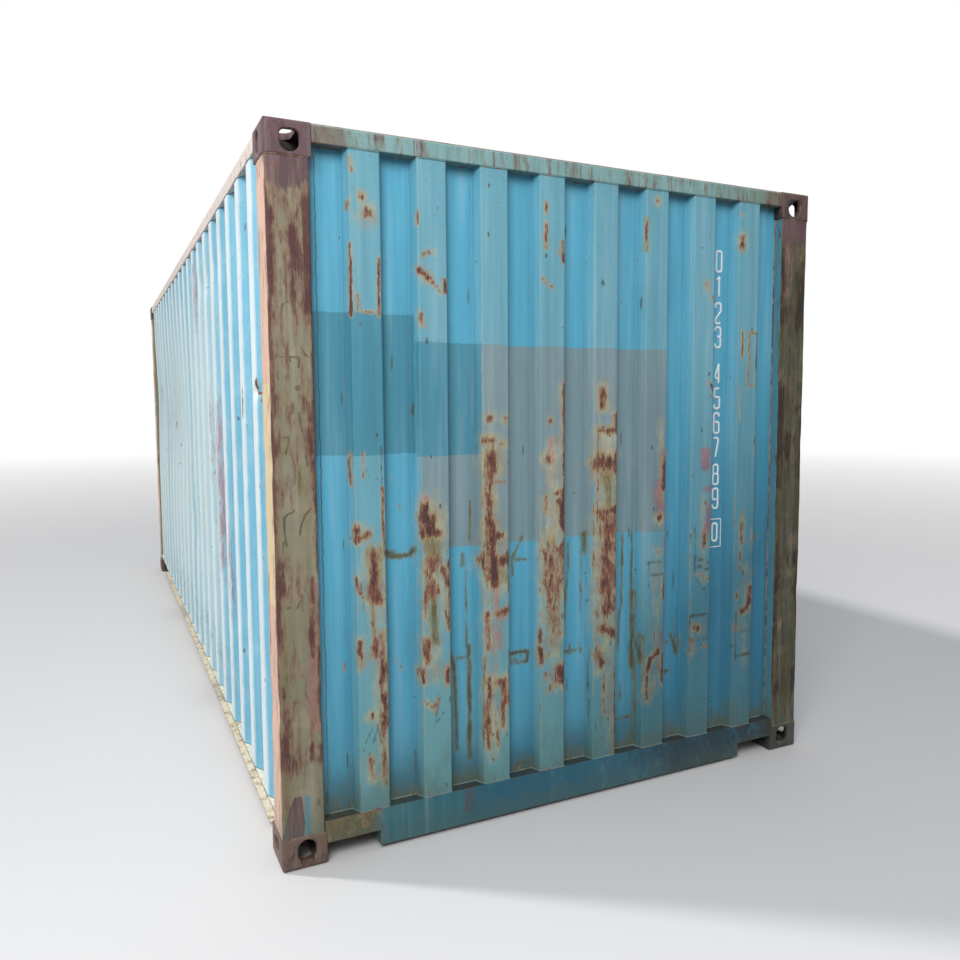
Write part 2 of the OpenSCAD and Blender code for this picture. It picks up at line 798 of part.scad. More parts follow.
// Door leaf on the left: upright tubes, a channel at its top and bottom, and a grooved panel,
// each a weld's root gap from the next
module door_leaf() {
    panel_w = leaf_w - 2 * (door_tube_w + weld_gap);
    mid_x = -leaf_x0 + leaf_w / 2;
    edge = (groove_pitch - door_groove_w - 2 * door_groove_slope) / 2;
    panel_z = leaf_z0 + door_rail_h;
    path = corrugation(panel_z + weld_gap, leaf_z1 - door_rail_h - weld_gap, panel_z + edge, door_grooves,
        door_groove_w, door_groove_slope, 2 * edge, door_set, door_set + door_groove_d);
    for (x = [-leaf_x0, -leaf_x0 + leaf_w - door_tube_w])
        translate([x, door_set, leaf_z0])
            linear_extrude(leaf_h) tube_outline(door_tube_w, door_t, door_tube_r, door_wall);
    for (z = [leaf_z0, leaf_z1 - door_rail_h])
        translate([mid_x, 0, z])
            along_x(panel_w)
                sheet_outline([[door_set + door_t, door_rail_h], [door_set, door_rail_h], [door_set, 0],
                    [door_set + door_t, 0]], door_wall);
    translate([mid_x, 0, 0]) along_x(panel_w) sheet_outline(swapped(path), -end_sheet_t);
}
// Rubber frame round a leaf's edge, in front of the bend of the post's stop lip
module door_seal() {
    outer = door_gap - seal_play;
    middle = door_middle / 2 - seal_play;
    translate([0, door_set + door_t - post_r - seal_d, 0])
        rotate([90, 0, 0]) mirror([0, 0, 1]) linear_extrude(seal_d)
            difference() {
                translate([-leaf_x0 - outer, leaf_z0 - outer])
                    square([leaf_w + outer + middle, leaf_h + 2 * outer]);
                translate([-leaf_x0 - seal_play, leaf_z0 - seal_play])
                    square([leaf_w + 2 * seal_play, leaf_h + 2 * seal_play]);
            }
}
module left_door() {
    color(side_pale) at_rear() door_leaf();
}
module right_door() {
    color(side_pale) at_rear() mirror([1, 0, 0]) door_leaf();
}
module left_door_seal() {
    color(rubber_black) at_rear() door_seal();
}
module right_door_seal() {
    color(rubber_black) at_rear() mirror([1, 0, 0]) door_seal();
}

// Hinges of the left door: two lugs and a pin on the post, and a blade on the door
module door_hinges() {
    pin_x = -opening_x + knuckle_r + pin_play;
    pin_y = door_set - blade_t - pin_play - knuckle_r / 2;
    step = (leaf_h - 2 * door_rail_h) / (hinges - 1);
    for (i = [0 : hinges - 1])
        translate([0, 0, leaf_z0 + door_rail_h + i * step]) {
            for (z = [-blade_h / 2 - pin_play - blade_t, blade_h / 2 + pin_play])
                translate([0, 0, z]) linear_extrude(blade_t) {
                    translate([pin_x, pin_y]) circle(r = knuckle_r);
                    translate([-opening_x, pin_y - knuckle_r]) square([pin_x + opening_x, 2 * knuckle_r]);
                }
            translate([pin_x, pin_y, -blade_h / 2 - 2 * blade_t])
                cylinder(d = pin_d, h = blade_h + 4 * blade_t);
            translate([0, 0, -blade_h / 2])
                difference() {
                    linear_extrude(blade_h) {
                        translate([pin_x, pin_y]) circle(r = knuckle_r);
                        translate([pin_x, door_set - blade_t]) square([blade_l, blade_t]);
                        translate([pin_x, pin_y]) square([knuckle_r, door_set - pin_y]);
                    }
                    translate([pin_x, pin_y, -past])
                        cylinder(d = pin_d + 2 * pin_play, h = blade_h + 2 * past);
                }
        }
}
module left_hinges() {
    color(gear_grey) at_rear() door_hinges();
}
module right_hinges() {
    color(gear_grey) at_rear() mirror([1, 0, 0]) door_hinges();
}

// Lock rods of the left door: tubes, each with a cam at both ends
module lock_rods() {
    rod_l = upper_cam_z + cam_h - lower_cam_z;
    for (x = rod_xs)
        translate([-x, rod_set, lower_cam_z])
            difference() {
                union() {
                    cylinder(d = rod_d, h = rod_l);
                    for (z = [0, rod_l - cam_h])
                        translate([0, 0, z]) {
                            cylinder(d = rod_d + 2 * cam_collar, h = cam_h);
                            translate([0, -cam_t / 2, 0]) cube([cam_l, cam_t, cam_h]);
                        }
                }
                translate([0, 0, -past]) cylinder(d = rod_d - 2 * rod_wall, h = rod_l + 2 * past);
            }
}
module left_lock_rods() {
    color(gear_grey) at_rear() lock_rods();
}
module right_lock_rods() {
    color(gear_grey) at_rear() mirror([1, 0, 0]) lock_rods();
}

// Rod brackets of the left door: a base plate, a neck and a ring round the rod
module rod_brackets() {
    ring_r = rod_d / 2 + rod_play + ring_t;
    base_w = 2 * (ring_r + base_margin);
    for (x = rod_xs)
        for (z = bracket_zs)
            translate([-x, 0, z - bracket_h / 2])
                difference() {
                    linear_extrude(bracket_h) {
                        translate([0, rod_set]) circle(r = ring_r);
                        translate([-base_w / 2, door_set - bar_t]) square([base_w, bar_t]);
                        translate([-ring_r, rod_set]) square([2 * ring_r, door_set - rod_set]);
                    }
                    translate([0, rod_set, -past])
                        cylinder(d = rod_d + 2 * rod_play, h = bracket_h + 2 * past);
                }
}
module left_rod_brackets() {
    color(gear_grey) at_rear() rod_brackets();
}
module right_rod_brackets() {
    color(gear_grey) at_rear() mirror([1, 0, 0]) rod_brackets();
}

// A handle: a hub clamped on its rod and a bent flat bar held in a catch on the door
module handle(x, side, z) {
    hub_r = rod_d / 2 + rod_play + ring_t;
    grip_y = rod_set - rod_d / 2 + bar_t / 2;
    bar = [[hub_r - ring_t / 2, rod_set], [hub_r + handle_bend, grip_y], [handle_l - handle_bend, grip_y],
        [handle_l, rod_set]];
    catch_x = handle_l - catch_back;
    translate([-x, 0, z]) mirror([side < 0 ? 1 : 0, 0, 0]) {
        difference() {
            union() {
                translate([0, rod_set, -handle_w]) cylinder(r = hub_r, h = 2 * handle_w);
                translate([0, 0, -handle_w / 2]) linear_extrude(handle_w) sheet_outline(bar, bar_t);
            }
            translate([0, rod_set, -handle_w - past])
                cylinder(d = rod_d + 2 * rod_play, h = 2 * handle_w + 2 * past);
        }
        translate([catch_x, 0, -handle_w / 2 - bar_t])
            linear_extrude(bar_t - rod_play)
                translate([-catch_w / 4, grip_y - bar_t]) square([catch_w / 2, door_set - grip_y + bar_t]);
        translate([catch_x - catch_w / 2, door_set - bar_t, -2 * handle_w])
            cube([catch_w, bar_t, 2 * handle_w]);
    }
}
module door_handles() {
    handle(rod_xs[0], 1, handle_z + handle_rise);
    handle(rod_xs[1], -1, handle_z);
}
module left_handles() {
    color(gear_grey) at_rear() door_handles();
}
module right_handles() {
    color(gear_grey) at_rear() mirror([1, 0, 0]) door_handles();
}

// Keepers on the sill and header: a jaw of two plates and a back plate round each cam's nose
module keeper() {
    inner = cam_t + 2 * cam_play;
    x0 = rod_d / 2 + cam_collar + cam_play;
    reach = cam_l - x0 + cam_play + keeper_t;
    translate([x0, rod_set - inner / 2 - keeper_t, 0]) {
        difference() {
            cube([reach, sill_set - rod_set + inner / 2 + keeper_t, cam_h]);
            translate([-past, keeper_t, -past])
                cube([reach + past - keeper_t, inner, cam_h + 2 * past]);
        }
    }
}
module keepers() {
    color(gear_grey)
        at_rear()
            for (sx = [0, 1])
                mirror([sx, 0, 0])
                    for (x = rod_xs)
                        for (z = [lower_cam_z, upper_cam_z])
                            translate([-x, 0, z]) keeper();
}

front_left_bottom_casting();
front_right_bottom_casting();
rear_left_bottom_casting();
rear_right_bottom_casting();
front_left_top_casting();
front_right_top_casting();
rear_left_top_casting();
rear_right_top_casting();
front_left_post();
front_right_post();
rear_left_post();
rear_right_post();
front_top_rail();
front_bottom_rail();
left_top_rail();
right_top_rail();
left_bottom_rail();
right_bottom_rail();
front_wall();
left_wall();
right_wall();
roof();
roof_end_plates();
cross_members();
front_fork_pocket();
rear_fork_pocket();
floor_boards();
rear_header();
rear_sill();
left_door();
right_door();
left_door_seal();
right_door_seal();
left_hinges();
right_hinges();
left_lock_rods();
right_lock_rods();
left_rod_brackets();
right_rod_brackets();
left_handles();
right_handles();
keepers();
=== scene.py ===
"""Looks of a weathered steel shipping container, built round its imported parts.

X runs across it, Y along it towards the doors and Z up. Every length is in metres, and every piece
stands in the parts' own frame.
"""

import math

import bpy
import numpy as np
from bpy.props import FloatProperty, FloatVectorProperty, IntProperty, PointerProperty
from mathutils import Matrix, Vector


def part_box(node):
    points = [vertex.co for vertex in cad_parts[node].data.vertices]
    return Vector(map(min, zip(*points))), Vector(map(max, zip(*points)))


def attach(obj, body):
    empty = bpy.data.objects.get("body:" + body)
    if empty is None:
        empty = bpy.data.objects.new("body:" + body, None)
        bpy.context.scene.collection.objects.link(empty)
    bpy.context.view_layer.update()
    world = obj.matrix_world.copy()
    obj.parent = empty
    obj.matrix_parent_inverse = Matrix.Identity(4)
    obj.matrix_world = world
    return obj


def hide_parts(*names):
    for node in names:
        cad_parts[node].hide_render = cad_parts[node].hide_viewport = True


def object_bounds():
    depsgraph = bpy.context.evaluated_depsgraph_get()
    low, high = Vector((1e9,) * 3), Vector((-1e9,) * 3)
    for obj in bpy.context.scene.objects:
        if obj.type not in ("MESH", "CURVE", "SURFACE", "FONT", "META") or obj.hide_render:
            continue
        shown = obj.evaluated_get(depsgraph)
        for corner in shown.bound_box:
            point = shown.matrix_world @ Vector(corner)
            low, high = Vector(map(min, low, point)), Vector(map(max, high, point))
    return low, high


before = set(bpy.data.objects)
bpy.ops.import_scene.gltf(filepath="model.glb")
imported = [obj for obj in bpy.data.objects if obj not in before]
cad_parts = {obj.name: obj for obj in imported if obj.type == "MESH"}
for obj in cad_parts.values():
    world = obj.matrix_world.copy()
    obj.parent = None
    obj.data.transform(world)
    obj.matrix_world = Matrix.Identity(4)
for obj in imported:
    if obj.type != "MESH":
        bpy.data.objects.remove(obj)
CAD_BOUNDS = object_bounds()

bl_info = {
    "name": "Weathered Shipping Container",
    "version": (1, 0, 0),
    "blender": (4, 5, 0),
    "location": "3D View > Sidebar > Container",
    "description": "Folded sheets, posts, welds, bolts and weathered finishes of a shipping container",
    "category": "Object",
}

MM = 0.001
THIN = 7  # strokes up to this half width, in millimetres, stay thin


def linear(red, green, blue):
    """A colour of 0 to 255 as it is seen, made linear by the standard screen curve."""
    shares = np.array([red, green, blue]) / 255
    return tuple(np.where(shares > 0.04045, ((shares + 0.055) / 1.055) ** 2.4, shares / 12.92).tolist())


def length(name, text, value):
    return FloatProperty(name=name, description=text, default=value, min=0, soft_max=3, unit="LENGTH")


def tint(name, text, red, green, blue):
    return FloatVectorProperty(
        name=name, description=text, default=linear(red, green, blue), size=3, min=0, max=1, subtype="COLOR"
    )


class ContainerSheets(bpy.types.PropertyGroup):
    """Sizes of the folded wall sheets."""

    front_outer: length("Front outer face", "Outer face of a front wall corrugation", 0.110)
    front_inner: length("Front inner face", "Inner face of a front wall corrugation", 0.104)
    front_slope: length("Front slope", "Width of a front wall slope", 0.018)
    front_depth: length("Front depth", "Depth of the front wall's corrugation", 0.0456)
    front_sheet: length("Front sheet", "Thickness of the front wall", 0.002)
    front_bend: length("Front bend", "Radius of the front wall's bends", 0.006)
    side_outer: length("Side outer face", "Outer face of a side wall corrugation", 0.072)
    side_inner: length("Side inner face", "Inner face of a side wall corrugation", 0.070)
    side_slope: length("Side slope", "Width of a side wall slope", 0.068)
    side_depth: length("Side depth", "Depth of the side walls' corrugation", 0.036)
    side_first: length("Side first strip", "Flat strip beside the front post", 0.058)
    side_sheet: length("Side sheet", "Thickness of the side walls", 0.0016)
    side_bend: length("Side bend", "Radius of the side walls' bends", 0.009)


class ContainerPosts(bpy.types.PropertyGroup):
    """Sizes of the pressed corner posts and of the weld beads."""

    plate: length("Plate", "Thickness of the posts", 0.006)
    bend: length("Bend", "Outer bend radius of the posts", 0.011)
    inset: length("Inset", "How far the posts stand inside the casting faces", 0.004)
    front_width: length("Front post width", "Front post on the end face", 0.156)
    front_length: length("Front post length", "Front post on the side face", 0.157)
    rear_width: length("Rear post width", "Rear post on the end face", 0.066)
    rear_length: length("Rear post length", "Rear post on the side face", 0.150)
    stop_depth: length("Stop depth", "Depth of the stop that the doors close on", 0.1183)
    stop_width: length("Stop width", "Width of that stop", 0.034)
    bead: length("Weld bead", "Radius of a weld bead", 0.0035)


class ContainerDoorBolts(bpy.types.PropertyGroup):
    """Sizes of the bolts and rivets on the door end."""

    hinge_bolt: length("Hinge bolt", "Radius of a hinge bolt's head", 0.010)
    bracket_bolt: length("Bracket bolt", "Radius of a rod bracket bolt's head", 0.008)
    head: length("Head height", "Height of a bolt's head", 0.006)


class ContainerNumbers(bpy.types.PropertyGroup):
    """Sizes of the column of plain figures on the front wall."""

    height: length("Height", "Height of a figure", 0.088)
    width: length("Width", "Width of a figure", 0.030)
    stroke: length("Stroke", "Width of a figure's stroke", 0.011)
    centre: FloatProperty(name="Centre", description="Place of the column across the wall", default=0.742, unit="LENGTH")


class ContainerPaint(bpy.types.PropertyGroup):
    """Colours of the paint, rust and dirt."""

    front_blue: tint("Front blue", "Sheltered paint of the front wall", 90, 174, 203)
    front_chalk: tint("Front chalk", "Bleached paint of its outer faces", 110, 170, 186)
    dark_teal: tint("Dark teal", "Touched-up field", 72, 143, 164)
    field_grey: tint("Field grey", "Grey field", 128, 149, 154)
    # The side walls' blue is lighter than the front's and their chalk is near white: painted sunlight over bleached
    # paint.
    side_blue: tint("Side blue", "Paint of the side walls' slopes", 124, 192, 218)
    side_chalk_and_sunlight: tint("Side chalk", "Bleached paint of their outer faces", 236, 246, 247)
    side_beige: tint("Side beige", "Dusty middle of the side wall", 228, 240, 236)
    post_olive: tint("Post olive", "Old paint of the posts", 134, 130, 105)
    rail_pale: tint("Rail pale", "Bleached paint of the top rails", 124, 164, 166)
    rail_teal: tint("Rail teal", "Paint of the bottom rail", 46, 104, 118)
    lip_cream: tint("Lip cream", "Bleached edge of the side bottom rails", 232, 226, 205)
    rust_dark: tint("Dark rust", "Old rust", 80, 50, 50)
    rust_bright: tint("Bright rust", "Fresh rust", 128, 80, 64)
    fringe: tint("Rust fringe", "Rim round a rust spot", 172, 152, 112)
    primer: tint("Primer", "Primer under the paint", 172, 112, 112)
    olive: tint("Olive stain", "Run-down stain", 128, 122, 72)
    bare_purple: tint("Bare steel", "Rust of the bare castings", 104, 78, 80)
    zinc: tint("Zinc", "Galvanised lock gear", 150, 154, 155)
    wood: tint("Wood", "Floor boards", 132, 98, 66)
    rubber: tint("Rubber", "Door seals", 36, 36, 38)
    figures: tint("Figures", "Figures on the wall", 226, 236, 238)


class ContainerStage(bpy.types.PropertyGroup):
    """Light, floor and camera."""

    ambient: FloatProperty(name="Ambient", description="Strength of the light from all round", default=0.50, min=0)
    key: FloatProperty(name="Key", description="Strength of the main lamp", default=1.6, min=0)
    fill: FloatProperty(name="Fill", description="Power of the soft lamp in front", default=300.0, min=0)
    floor: tint("Floor", "Colour of the floor", 214, 212, 212)


# ---------------------------------------------------------------- shapes


def turn_right(direction):
    """A plane direction turned right by a quarter."""
    return np.stack([direction[..., 1], -direction[..., 0]], axis=-1)


def fold_line(corners, radius, step, bends=4):
    """Plane line through the corners with each bend an arc of the radius.

    A bend's arc starts at radius times the tangent of half its turn before the corner. Straight runs
    are sampled at most a step apart and arcs in even angles. Returns the points, the unit normals on
    the right of travel, the distance along the line, and for each bend its distance and its turn.
    """
    corners = np.asarray(corners, float)
    points, normals, knees = [], [], []
    start = corners[0]
    for i in range(1, len(corners)):
        along = corners[i] - corners[i - 1]
        along /= np.linalg.norm(along)
        if i < len(corners) - 1:
            after = corners[i + 1] - corners[i]
            after /= np.linalg.norm(after)
            turn = math.atan2(along[0] * after[1] - along[1] * after[0], along @ after)
            reach = radius * math.tan(abs(turn) / 2)
        else:
            turn, reach = 0.0, 0.0
        end = corners[i] - along * reach
        count = max(int(math.ceil(np.linalg.norm(end - start) / step)), 1)
        share = np.linspace(0, 1, count + 1)[:, None]
        run = start + (end - start) * share
        points.append(run if not turn else run[:-1])
        normals.append(np.repeat(turn_right(along)[None], len(points[-1]), axis=0))
        if turn:
            angle = turn * np.linspace(0, 1, bends + 1)
            spin = np.stack([np.cos(angle), np.sin(angle)], axis=-1)
            centre = end - turn_right(along) * radius * math.copysign(1, turn)
            side = turn_right(along)
            turned = np.stack(
                [side[0] * spin[:, 0] - side[1] * spin[:, 1], side[0] * spin[:, 1] + side[1] * spin[:, 0]], axis=-1
            )
            arc = centre + turned * radius * math.copysign(1, turn)
            points.append(arc[:-1] if i < len(corners) - 1 else arc)
            normals.append(turned[: len(points[-1])])
            knees.append((sum(len(p) for p in points) - len(points[-1]) // 2 - 1, turn))
            start = arc[-1]
        else:
            start = end
    points, normals = np.concatenate(points), np.concatenate(normals)
    travel = np.concatenate([[0], np.cumsum(np.linalg.norm(np.diff(points, axis=0), axis=1))])
    return points, normals, travel, [(travel[k], turn) for k, turn in knees]


def near_knees(travel, knees, sign, width):
    """1 at the bends that turn with the sign, falling off as exp of minus the squared distance in widths."""
    best = np.zeros_like(travel)
    for place, turn in knees:
        if turn * sign > 0:
            best = np.maximum(best, np.exp(-(((travel - place) / width) ** 2)))
    return best


def marked(u, v, marks):
    """Strongest of the marks at each point.

    Each mark is a centre, half sizes and a strength, in millimetres, and falls off as exp of minus the
    fourth power of the distance in half sizes.
    """
    best = np.zeros(np.broadcast(u, v).shape)
    for mu, mv, half_u, half_v, strength in marks:
        far = ((u / MM - mu) / half_u) ** 4 + ((v / MM - mv) / half_v) ** 4
        best = np.maximum(best, strength * np.exp(-far))
    return best


def stroked(u, v, strokes, swell=1.0):
    """Strongest of the strokes at each point.

    A stroke falls off as exp of minus the squared distance from its line in half widths, in millimetres,
    and swell widens them, the thin ones by half as much.
    """
    u, v = np.broadcast_arrays(u / MM, v / MM)
    best = np.zeros(u.shape)
    for width, strength, *points in strokes:
        half = width * (swell if width > THIN else 0.5 + 0.5 * swell)
        corners = np.array(points, float)
        low, high = corners.min(axis=0) - 3 * half, corners.max(axis=0) + 3 * half
        near = (u > low[0]) & (u < high[0]) & (v > low[1]) & (v < high[1])
        if not near.any():
            continue
        spot = np.stack([u[near], v[near]], axis=-1)
        ends = corners[1:] if len(corners) > 1 else corners
        away = np.full(len(spot), np.inf)
        for a, b in zip(corners, ends):
            run = b - a
            share = np.clip((spot - a) @ run / max(run @ run, 1e-9), 0, 1)
            away = np.minimum(away, np.linalg.norm(spot - a - share[:, None] * run, axis=1))
        best[near] = np.maximum(best[near], strength * np.exp(-((away / half) ** 2)))
    return best


def dented(u, v, dents):
    """Sum of smooth hollows, each as deep as its depth times exp of minus the squared distance in half sizes."""
    total = np.zeros(np.broadcast(u, v).shape)
    for du, dv, half_u, half_v, depth in dents:
        total += depth * MM * np.exp(-(((u / MM - du) / half_u) ** 2) - ((v / MM - dv) / half_v) ** 2)
    return total


def grid_faces(rows, columns, first=0):
    """Quads of a grid whose vertices are numbered row by row."""
    i, j = np.meshgrid(np.arange(rows - 1), np.arange(columns - 1), indexing="ij")
    a = (first + i * columns + j).ravel()
    return np.stack([a, a + columns, a + columns + 1, a + 1], axis=-1)


def new_object(name, vertices, faces, smooth=35.0, attributes=None):
    """Puts numpy vertices, faces and point values into a mesh object at the origin."""
    mesh = bpy.data.meshes.new(name)
    mesh.from_pydata(vertices.reshape(-1, 3).tolist(), [], faces)
    mesh.polygons.foreach_set("use_smooth", np.ones(len(mesh.polygons), bool))
    for label, values in (attributes or {}).items():
        store = mesh.attributes.new(label, "FLOAT", "POINT")
        store.data.foreach_set("value", np.ascontiguousarray(values, np.float32).ravel())
    mesh.update()
    mesh.set_sharp_from_angle(angle=math.radians(smooth))
    piece = bpy.data.objects.new(name, mesh)
    bpy.context.scene.collection.objects.link(piece)
    return piece


def folded_plate(name, line, heights, wall, push, looks, skip=2):
    """Upright folded plate of real thickness.

    Its outer surface is the plane line carried up through the heights and moved against its normal by
    the push, its inner surface lies a wall's thickness behind it on every skip-th height, and the four
    rims are closed. push and looks are functions of distance along the line, place and height.
    """
    points, normals, travel, knees = line
    inner_rows = np.unique(np.append(np.arange(0, len(heights), skip), len(heights) - 1))

    def layer(rows, depth):
        x, z = np.broadcast_arrays(points[:, None, 0], heights[None, rows])
        y = np.broadcast_to(points[:, None, 1], x.shape)
        hollow = push(travel[:, None], x, y, z) + depth
        surface = np.stack([x, y, z], axis=-1)
        surface[..., :2] -= normals[:, None] * hollow[..., None]
        return surface, (x, y, z)

    everywhere = np.arange(len(heights))
    outer, (x, y, z) = layer(everywhere, 0.0)
    inner, _ = layer(inner_rows, wall)
    count, rows, few = len(points), len(heights), len(inner_rows)
    first = count * rows
    front = grid_faces(count, rows)
    back = grid_faces(count, few, first)[:, ::-1]
    flat = outer.reshape(-1, 3)
    corner = flat[front]
    facing = np.cross(corner[:, 1] - corner[:, 0], corner[:, 3] - corner[:, 0])
    outward = np.repeat(normals[:-1], rows - 1, axis=0)
    if (facing[:, :2] * outward).sum() < 0:
        front, back = front[:, ::-1], back[:, ::-1]
        flipped = True
    else:
        flipped = False
    i = np.arange(count - 1)
    bottom = np.stack([i * rows, (i + 1) * rows, first + (i + 1) * few, first + i * few], axis=-1)
    top = np.stack(
        [(i + 1) * rows - 1 + rows, (i + 1) * rows - 1, first + (i + 1) * few - 1, first + (i + 1) * few - 1 + few], axis=-1
    )
    if not flipped:
        bottom, top = bottom[:, ::-1], top[:, ::-1]
    column = np.arange(rows)
    few_column = np.arange(few)
    left = np.concatenate([column, first + few_column[::-1]])
    right = np.concatenate([(count - 1) * rows + column, first + (count - 1) * few + few_column[::-1]])[::-1]
    if flipped:
        left, right = left[::-1], right[::-1]
    faces = np.concatenate([front, back, bottom, top]).tolist() + [left.tolist(), right.tolist()]
    values = looks(travel[:, None], x, y, z, knees)
    values["inside"] = np.zeros((count, rows))
    store = {}
    for label, outer_values in values.items():
        inside = np.full((count, few), 1.0 if label == "inside" else 0.0)
        store[label] = np.concatenate([np.broadcast_to(outer_values, (count, rows)).ravel(), inside.ravel()])
    vertices = np.concatenate([flat, inner.reshape(-1, 3)])
    return new_object(name, vertices, faces, 35.0, store)


def heights_between(low, high, step):
    return np.linspace(low, high, int(math.ceil((high - low) / step)) + 1)


def bead(path, lift, radius, step_ripple=0.006):
    """Weld bead: a half circle carried along a path, its radius rippling by a tenth and shrinking to nothing at both ends.

    lift is the direction away from the seam at each point. Returns vertices and faces.
    """
    path, lift = np.asarray(path, float), np.asarray(lift, float)
    along = np.gradient(path, axis=0)
    along /= np.maximum(np.linalg.norm(along, axis=1, keepdims=True), 1e-9)
    lift = lift - along * (lift * along).sum(axis=1, keepdims=True)
    lift /= np.maximum(np.linalg.norm(lift, axis=1, keepdims=True), 1e-9)
    side = np.cross(along, lift)
    travel = np.concatenate([[0], np.cumsum(np.linalg.norm(np.diff(path, axis=0), axis=1))])
    girth = radius * (1 + 0.1 * np.sin(2 * math.pi * travel / step_ripple))
    girth *= np.clip(np.minimum(travel, travel[-1] - travel) / (2 * radius), 0.02, 1)
    angle = np.linspace(-0.62 * math.pi, 0.62 * math.pi, 7)
    ring = side[:, None] * np.sin(angle)[None, :, None] + lift[:, None] * np.cos(angle)[None, :, None]
    vertices = path[:, None] + ring * girth[:, None, None]
    return vertices.reshape(-1, 3), grid_faces(len(path), len(angle))


def joined(parts):
    """Vertices and faces of several shapes as one."""
    vertices, faces, first = [], [], 0
    for points, quads in parts:
        vertices.append(points)
        faces.append(quads + first)
        first += len(points)
    return np.concatenate(vertices), np.concatenate(faces)


def dome(radius, height, sides=12):
    """Bolt head: rings of a low dome, r times the cosine and h times the root of the sine of the rise, with a flat washer."""
    rise = np.linspace(0, 0.5 * math.pi * 0.999, 5)
    rings = np.stack([radius * np.cos(rise), height * (0.25 + 0.75 * np.sqrt(np.sin(rise)))], axis=-1)
    rings = np.concatenate([[[radius * 1.45, -height * 0.5], [radius * 1.45, height * 0.22], [radius * 1.02, height * 0.25]], rings])
    angle = np.linspace(0, 2 * math.pi, sides + 1)
    x = rings[:, None, 0] * np.cos(angle)
    z = rings[:, None, 0] * np.sin(angle)
    y = np.broadcast_to(rings[:, None, 1], x.shape)
    return np.stack([x, y, z], axis=-1).reshape(-1, 3), grid_faces(len(rings), sides + 1)


def placed(piece, slot, *nodes):
    """Ties a piece to the container's body and hides the parts that it stands for."""
    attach(piece, "root")
    if nodes:
        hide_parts(*nodes)
    return piece


# ---------------------------------------------------------------- front wall

